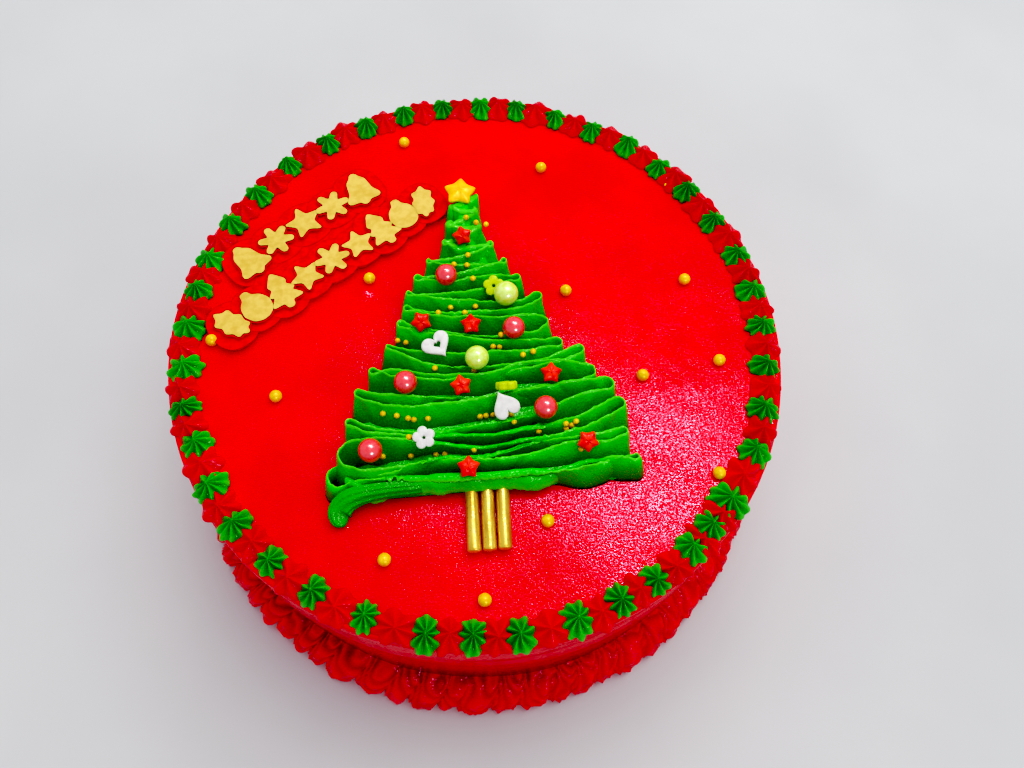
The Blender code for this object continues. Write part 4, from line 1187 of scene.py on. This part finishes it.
# %% The ribbon tree as one piece
ribbon, edge_highlight, depth = ribbon_rings()
for node, (turn, tilt, radius, thickness) in CANDIES.items():
    if node != ON_EDGE:
        ribbon = press(ribbon, seat(node), tilt, radius, thickness / 2)
core, tongue = tube(core_rings()), tube(tongue_rings())
no_edge = np.zeros(len(core[0]) + len(tongue[0]))
# painted highlight on the free edge; painted shade low on the walls and over the ribbon's start
edge = np.concatenate((with_ends(0.5 * edge_highlight), no_edge))
painted_shade = np.concatenate((with_ends(0.9 * depth), np.zeros(len(core[0])), np.full(len(tongue[0]), 0.4)))
ribbon_body = gather([tube(ribbon), core, tongue])
piece("ribbon_tree", ribbon_body, green_piped, ["piped_tree"],
      {"edge": edge, "painted_shade": painted_shade})

# %% [markdown]
# ## Beads, pearls and small candies
#
# The tiny gold beads were sprinkled over the tree and lie wherever they stopped. Each one is put where
# a ray from the camera meets the icing, so it is seen in its right place and still touches the ribbon
# that carries it. The larger pearls, hearts, flowers and stars take the places of their solids.

# %% Tiny gold beads
BEAD_RADIUS = 1.1
BEAD_LEVEL = 94.8
BEADS = (                  # where the line of sight to each bead crosses this level
    (-1.0, 45.5), (2.7, 42.8), (6.5, 41.6), (-1.6, 27.8), (-7.2, 23.9), (-2.3, 23.2), (-0.5, 17.0),
    (-9.7, 5.0), (-0.5, 4.7), (-14.3, 3.2), (-4.6, 2.4), (7.8, -7.9), (-29.5, -7.3), (-26.6, -8.4),
    (4.5, -12.6), (6.8, -13.0), (14.9, -16.8), (18.7, -15.8), (-16.8, -19.6), (-3.1, -21.7),
    (-35.6, -35.6), (-30.9, -36.8), (-27.1, -38.1), (-25.1, -38.8), (-20.3, -38.8), (-2.4, -39.6),
    (-0.3, -39.4), (2.1, -39.3), (8.3, -39.8), (9.1, -42.5), (17.2, -46.7), (26.9, -44.8),
    (30.5, -44.2), (28.9, -45.5), (26.7, -46.6), (-27.1, -45.1), (-36.1, -51.4), (-26.7, -51.9),
    (-18.3, -52.1), (-15.3, -52.2), (-5.4, -51.6), (30.9, -54.4),
)
FALLEN_BEAD = (84.2, 63.2, TOP + 0.6)      # at the foot of the ring of stars
tree_points, tree_quads, tree_triangles = ribbon_body
tree_surface = BVHTree.FromPolygons(tree_points.tolist(), tree_quads.tolist() + tree_triangles.tolist())


def resting(x, y):
    """Where a bead lies: the point at which its line of sight meets the icing, lifted a little."""
    sight = Vector((x, y, BEAD_LEVEL)) - CAMERA_PLACE
    hit = tree_surface.ray_cast(CAMERA_PLACE, sight.normalized())[0]
    return np.array(hit if hit is not None else (x, y, BEAD_LEVEL)) + (0, -0.15, 0.5 * BEAD_RADIUS)


bead_places = [resting(x, y) for x, y in BEADS] + [FALLEN_BEAD]
beads = [ball(BEAD_RADIUS, place, columns=14, rows=8) for place in bead_places]
piece("tree_beads", gather(beads), gold_ball)

# %% The large pearls
PEARL_RADIUS = 4.1
LARGER_BY = {"pearl_lime_1": 0.5, "pearl_lime_2": 0.2}
for colour, count, finish in (("red", 5, pearl_red), ("lime", 2, pearl_lime)):
    for number in range(1, count + 1):
        node = f"pearl_{colour}_{number}"
        pearl = ball(PEARL_RADIUS + LARGER_BY.get(node, 0.0), seat(node), columns=40, rows=22)
        piece(node + "_shell", pearl, finish, [node])

# %% Puffy stars
STAR_NOTCH = 0.66          # the radius in the notches, as a share of the radius at the points
STAR_ROUNDING = 0.34       # the window over which corners are averaged, in radians
STAR_SAMPLES = 720


def star_reach(angles):
    """The radius of a five-pointed star in polar form, with its corners rounded.

    Between a point and the notch beside it the edge is straight: 1/r = cos t + b sin t. The result
    is averaged over a small window of angles, which rounds points and notches alike.
    """
    fine = rounds(STAR_SAMPLES)
    within = np.abs((fine - FULL_TURN / 4 + math.pi / 5) % (FULL_TURN / 5) - math.pi / 5)
    slope = (1 / STAR_NOTCH - math.cos(math.pi / 5)) / math.sin(math.pi / 5)
    sharp_reach = 1 / (np.cos(within) + slope * np.sin(within))
    window = int(STAR_SAMPLES * STAR_ROUNDING / FULL_TURN) | 1
    kernel = np.hanning(window + 2)[1:-1]
    wrapped = np.concatenate((sharp_reach[-window:], sharp_reach, sharp_reach[:window]))
    rounded = np.convolve(wrapped, kernel / kernel.sum(), "same")[window:-window]
    return np.interp(angles % FULL_TURN, fine, rounded, period=FULL_TURN)


UPPER_SHARES = np.array((0.04, 0.2, 0.4, 0.58, 0.74, 0.86, 0.94, 0.985, 1.0))[:, None]
LOWER_SHARES = np.array((0.97, 0.86, 0.3))[:, None]
LOWER_LEVELS = np.array((-0.3, -0.5, -0.5))[:, None]


def puffy_star(radius, thickness):
    """A pillow over the star's outline, flat below, with soft ridges towards its points.

    Its upper side rises from the edge to the middle as (1 - t^2.4)^0.6, where t is the share of the
    radius.
    """
    angles = rounds(80)
    ridge = 0.5 + 0.5 * np.cos(5 * (angles - FULL_TURN / 4))
    dome = (1 - UPPER_SHARES ** 2.4) ** 0.6
    upper = 0.5 * dome * (0.86 + 0.14 * ridge * (1 - UPPER_SHARES))
    levels = np.vstack((upper, np.repeat(LOWER_LEVELS, len(angles), axis=1)))
    shares = np.vstack((UPPER_SHARES, LOWER_SHARES))
    return turned(shares * radius * star_reach(angles), angles, thickness * levels)


STAR_CANDY_RADIUS, TREE_STAR_RADIUS = 1.06 * 3.9, 7.0
for node in [f"star_red_{number}" for number in range(1, 8)]:
    star = put(node, puffy_star(STAR_CANDY_RADIUS, CANDIES[node][3]))
    piece(node + "_sugar", tube(star), star_red, [node])
tree_star = put("tree_star", puffy_star(TREE_STAR_RADIUS, CANDIES["tree_star"][3]))
piece("tree_star_gilt", tube(tree_star), gold_star, ["tree_star"])

# %% Hearts and flowers
def heart(width):
    """The well-known heart curve: 16 sin^3 across, 13 cos t - 5 cos 2t - 2 cos 3t - cos 4t along."""
    t = rounds(72)
    across = 16 * np.sin(t) ** 3
    along = 13 * np.cos(t) - 5 * np.cos(2 * t) - 2 * np.cos(3 * t) - np.cos(4 * t) + 2.5
    return np.column_stack((-across, along)) * width / 32


def flower(radius):
    """Five round petals: r = 0.72 + 0.28 |cos(5 a / 2)|^0.7, where a is the angle from +Y."""
    angles = rounds(80)
    reach = radius * (0.72 + 0.28 * np.abs(np.cos(5 * (angles - FULL_TURN / 4) / 2)) ** 0.7)
    return turned(reach, angles, 0.0)[:, :2]


# Share of the way from the hole's outline to the outer one, and share of half the thickness.
OUTER_ROWS = ((0.5, 1.0), (0.86, 0.98), (0.96, 0.80), (1.0, 0.35), (1.0, -0.45), (0.95, -0.9), (0.5, -1.0))
HOLE_ROWS = ((0.0, 0.0), (0.02, 0.85), (0.12, 1.0), *OUTER_ROWS, (0.08, -1.0), (0.0, -0.8))
PLAIN_ROWS = ((0.02, 1.0), *OUTER_ROWS, (0.02, -1.0))


def stamped(outline, hole, thickness):
    """A flat candy with softly rounded edges: outlines from its hole out and back below.

    hole is the outline of the hole, or None for a candy without one, which starts in its middle.
    """
    inner = np.zeros_like(outline) if hole is None else hole
    share, level = np.array(PLAIN_ROWS if hole is None else HOLE_ROWS).T[..., None]
    lines = inner + share[..., None] * (outline - inner)
    heights = np.repeat(level * thickness / 2, len(outline), axis=1)
    return np.dstack((lines, heights))


large_heart = heart(10.8)
small_heart = heart(9.4) * (1.0, 1.18)
petals = flower(4.0)
STAMPED = (                # node, outline, outline of the hole, finish
    ("heart_white_1", large_heart, large_heart * 0.25 + (0.2, 0.5), sugar_white),
    ("heart_white_2", small_heart, None, sugar_white),
    ("flower_white_1", petals, petals * 0.14, sugar_white),
    ("flower_lime_1", petals, petals * 0.16, sugar_lime),
    ("flower_lime_2", petals, petals * 0.16, sugar_lime),
)
for node, outline, hole, finish in STAMPED:
    rings = put(node, stamped(outline, hole, CANDIES[node][3]))
    body = tube(rings) if hole is None else hoop(rings)
    piece(node + "_sugar", body, finish, [node])

# %% [markdown]
# ## The trunk
#
# Three short rods stand in for the trunk: chocolate sticks painted with edible gold. They are not
# perfectly straight or smooth, so each ring of a rod is shifted and swollen a little.

# %% Gold rods
ROD_RADIUS, ROD_LENGTH, ROD_PITCH = 2.4, 25.0, 5.15
ROD_ROUND = 0.9            # how far its round ends reach along it
ROD_FOOT = (-2.8, -84.8)
ROD_TURNS = (-1.8, -2.1, -2.4)


def rod(number):
    """A cylinder along +Y with round ends, turned by a small angle about its own foot.

    Within the round end the radius is r sqrt(1 - 0.96 c^2), where c runs from 1 at the end to 0.
    """
    end = ROD_ROUND * (1 - np.cos(np.linspace(0.1, math.pi / 2, 6)))
    along = np.concatenate((end, np.linspace(1.4, ROD_LENGTH - 1.4, 34), ROD_LENGTH - end[::-1]))
    from_end = np.minimum(along, ROD_LENGTH - along)
    size = ROD_RADIUS * np.sqrt(1 - np.clip(1 - from_end / ROD_ROUND, 0, 1) ** 2 * 0.96)
    x, z, y = np.moveaxis(turned(size[:, None], rounds(36), along[:, None]), -1, 0)
    dents = 1 + 0.02 * unevenness(np.stack((x, y, z), -1), 6, 40 + number)
    points = np.stack((x * dents, y, z * dents), -1)
    fan = np.array(Matrix.Rotation(math.radians(ROD_TURNS[number]), 3, "Z"))
    foot = (ROD_FOOT[0] + (number - 1) * ROD_PITCH, ROD_FOOT[1], TOP + ROD_RADIUS)
    return points @ fan.T + foot


for number, name in enumerate(("left", "middle", "right")):
    piece(f"gold_rod_{name}", tube(rod(number)), gold_rod, [f"trunk_rod_{name}"])

# %% [markdown]
# ## The plaque
#
# Beside the tree lies a red moulded plate with raised ornaments whose faces are gilded. Each ornament
# is a flat outline: a helper moves an outline outwards by a set distance, and another stacks such
# outlines into a low body whose upper edge flares out a little, so that its top face is a touch larger
# than its foot. Red body, thin dark line and gold face are the same outline at three sizes.

# %% Outlines of the ornaments
PLAQUE_PLACE = (-53.4, 36.4)
PLAQUE_TURN = 34.4


def mirrored(half):
    """A closed outline from its right half, listed from top to bottom.

    Corners on the axis are not doubled.
    """
    half = np.asarray(half, float)
    off_axis = half[half[:, 0] > 0]
    return np.vstack((half[::-1], off_axis * (-1, 1)))


def star_corners():
    """Five points, the first along +Y, with notches at 0.45 of the radius."""
    return turned(np.tile((1.0, 0.45), 5), rounds(10, FULL_TURN / 4), 0.0)[:, :2]


def flake_corners():
    """Six blunt arms with a notch between each two."""
    arms = [[(arm - 9, 1.0), (arm + 9, 1.0), (arm + 30, 0.42)] for arm in range(30, 390, 60)]
    angles, reach = np.array(arms).reshape(-1, 2).T
    return turned(reach, np.radians(angles), 0.0)[:, :2]


FIR = mirrored(((0, 1), (0.45, 0.36), (0.27, 0.20), (0.62, -0.14), (0.36, -0.20), (0.74, -0.68),
                (0.16, -0.68), (0.16, -1)))
BELL = mirrored(((0.14, 1.0), (0.18, 0.78), (0.46, 0.52), (0.56, -0.2), (0.86, -0.62), (0.80, -0.78),
                 (0.20, -0.78), (0.14, -1.0)))
BAUBLE = mirrored(((0.20, 1.0), (0.20, 0.68), (0.56, 0.42), (0.74, -0.1), (0.56, -0.62), (0.2, -0.84)))
LEAF = mirrored(((0, 1), (0.20, 0.62), (0.52, 0.56), (0.36, 0.14), (0.60, -0.10), (0.36, -0.40),
                 (0.44, -0.76), (0.12, -0.72), (0.08, -1)))
STAR, FLAKE = star_corners(), flake_corners()
ORNAMENTS = (              # outline, place along and across the plaque, half its height, turn
    (BELL, -26.8, 18.8, 8.0, 10), (FLAKE, -13.4, 20.2, 6.9, 4), (STAR, 0.0, 20.6, 7.8, -6),
    (FLAKE, 13.2, 20.4, 6.9, 20), (BELL, 26.6, 20.6, 8.2, -12),
    (LEAF, -46.8, -1.4, 8.2, 24), (BAUBLE, -35.8, -0.8, 7.8, 8), (FIR, -24.6, -0.6, 8.8, -3),
    (STAR, -13.4, -1.4, 6.9, 12), (FLAKE, -1.4, -0.8, 6.9, 14), (STAR, 10.6, -1.4, 6.9, -10),
    (FIR, 21.6, -0.6, 8.8, 3), (BAUBLE, 32.6, -0.8, 7.8, -8), (LEAF, 43.0, -0.6, 8.0, -26),
)
print("ornaments on the plaque:", len(ORNAMENTS))

# %% Flat bodies from outlines
def refined(outline, spacing=0.5):
    """The outline with points at even distances along its edges, and its corners kept."""
    closed = np.vstack((outline, outline[:1]))
    parts = []
    for start, end in zip(closed[:-1], closed[1:]):
        count = max(int(np.linalg.norm(end - start) / spacing), 1)
        parts.append(start + (end - start) * (np.arange(count) / count)[:, None])
    return np.vstack(parts)


def soften(outline, passes):
    """Rounds corners: each pass moves every point halfway to the mean of its two neighbours."""
    for _ in range(passes):
        outline = 0.5 * outline + 0.25 * (np.roll(outline, 1, axis=0) + np.roll(outline, -1, axis=0))
    return outline


def counter_clockwise(outline):
    """The outline in the order in which the area x dy - y dx, summed round it, is above zero."""
    x, y = outline.T
    area = np.sum(x * np.roll(y, -1) - y * np.roll(x, -1))
    return outline if area > 0 else outline[::-1]


def outset(outline, distance):
    """Moves each point of a counter-clockwise outline out along the mean normal of its two edges."""
    edge = np.roll(outline, -1, axis=0) - outline
    normal = unit(np.column_stack((edge[:, 1], -edge[:, 0])))
    normal = unit(normal + np.roll(normal, 1, axis=0))
    return outline + distance * normal


def slab(outline, low, high, edge):
    """A flat body over an outline, its upper edge flared out by this width along a quarter circle.

    A fan of triangles from its middle closes it, so every outline here is one whose corners can all
    be seen from the middle. The last two rings lie level, which keeps the top flat up to its edge.
    """
    steps = np.linspace(0, math.pi / 2, 5)
    rows = [(0.0, low)] + [(edge * (1 - math.cos(a)), high - edge * (1 - math.sin(a))) for a in steps]
    rows.append((edge + 0.08, high))
    return tube([np.column_stack((outset(outline, out), np.full(len(outline), level)))
                 for out, level in rows])


print("points round a bell 16 mm tall:", len(refined(BELL * 8)))


# %% Making the plaque's pieces
def plaque_piece(name, slabs, material, nodes=()):
    """A piece from slabs in the plaque's own frame, turned and moved to its place on the cake."""
    points, quads, triangles = gather(slabs)
    turn = np.array(Matrix.Rotation(math.radians(PLAQUE_TURN), 3, "Z"))
    points = points @ turn.T + (*PLAQUE_PLACE, 0.0)
    piece(name, (points, quads, triangles), material, nodes, sharp=40)


# Levels of the undersides and tops, and how far each outline stands out beyond the ornament's own.
PLATE_FOOT, BODY_FOOT, FACE_FOOT = TOP - 0.2, TOP + 1.0, TOP + 3.0
PLATE_TOP, BAR_TOP, BODY_TOP, LINE_TOP, GOLD_TOP = TOP + 2.1, TOP + 2.0, TOP + 3.4, TOP + 3.56, TOP + 3.72
PLATE_MARGIN, BODY_OUT, LINE_OUT, GOLD_OUT = 2.0, 0.5, 0.34, 0.28
PLATE_FLARE, BODY_FLARE, LINE_FLARE, GOLD_FLARE = 0.9, 0.5, 0.05, 0.06
BAR = ((-30.0, 3.0), (32.0, 3.0), (28.0, 17.0), (-22.0, 17.0))       # joins the two rows of plates

# Each ornament is a hair higher than the one before, so that no two tops that meet lie in one plane.
plates, raised, lines, faces_of_gold = [], [], [], []
angles = rounds(48)
squarish = np.column_stack((squared(np.cos(angles), 0.8), squared(np.sin(angles), 0.8)))
for number, (outline, along, across, size, turn) in enumerate(ORNAMENTS):
    placed = outline * size @ np.array(Matrix.Rotation(math.radians(turn), 2)).T
    centre = np.array((along, across))
    plate = centre + squarish * (np.ptp(placed, axis=0) / 2 + PLATE_MARGIN)
    shape = counter_clockwise(soften(refined(placed + centre), 6))
    body = soften(outset(shape, BODY_OUT), 4)
    plates.append(slab(plate, PLATE_FOOT, PLATE_TOP + 0.03 * number, PLATE_FLARE))
    raised.append(slab(body, BODY_FOOT, BODY_TOP + 0.01 * number, BODY_FLARE))
    lines.append(slab(outset(shape, LINE_OUT), FACE_FOOT, LINE_TOP + 0.008 * number, LINE_FLARE))
    faces_of_gold.append(slab(outset(shape, GOLD_OUT), FACE_FOOT, GOLD_TOP + 0.008 * number, GOLD_FLARE))
bar = counter_clockwise(soften(refined(np.array(BAR), spacing=1.0), 6))
plates.append(slab(bar, PLATE_FOOT, BAR_TOP, PLATE_FLARE))
plaque_piece("plaque_body", plates + raised, plaque_red, ["plaque"])
plaque_piece("plaque_outlines", lines, plaque_line)
plaque_piece("plaque_gilding", faces_of_gold, gold_print)
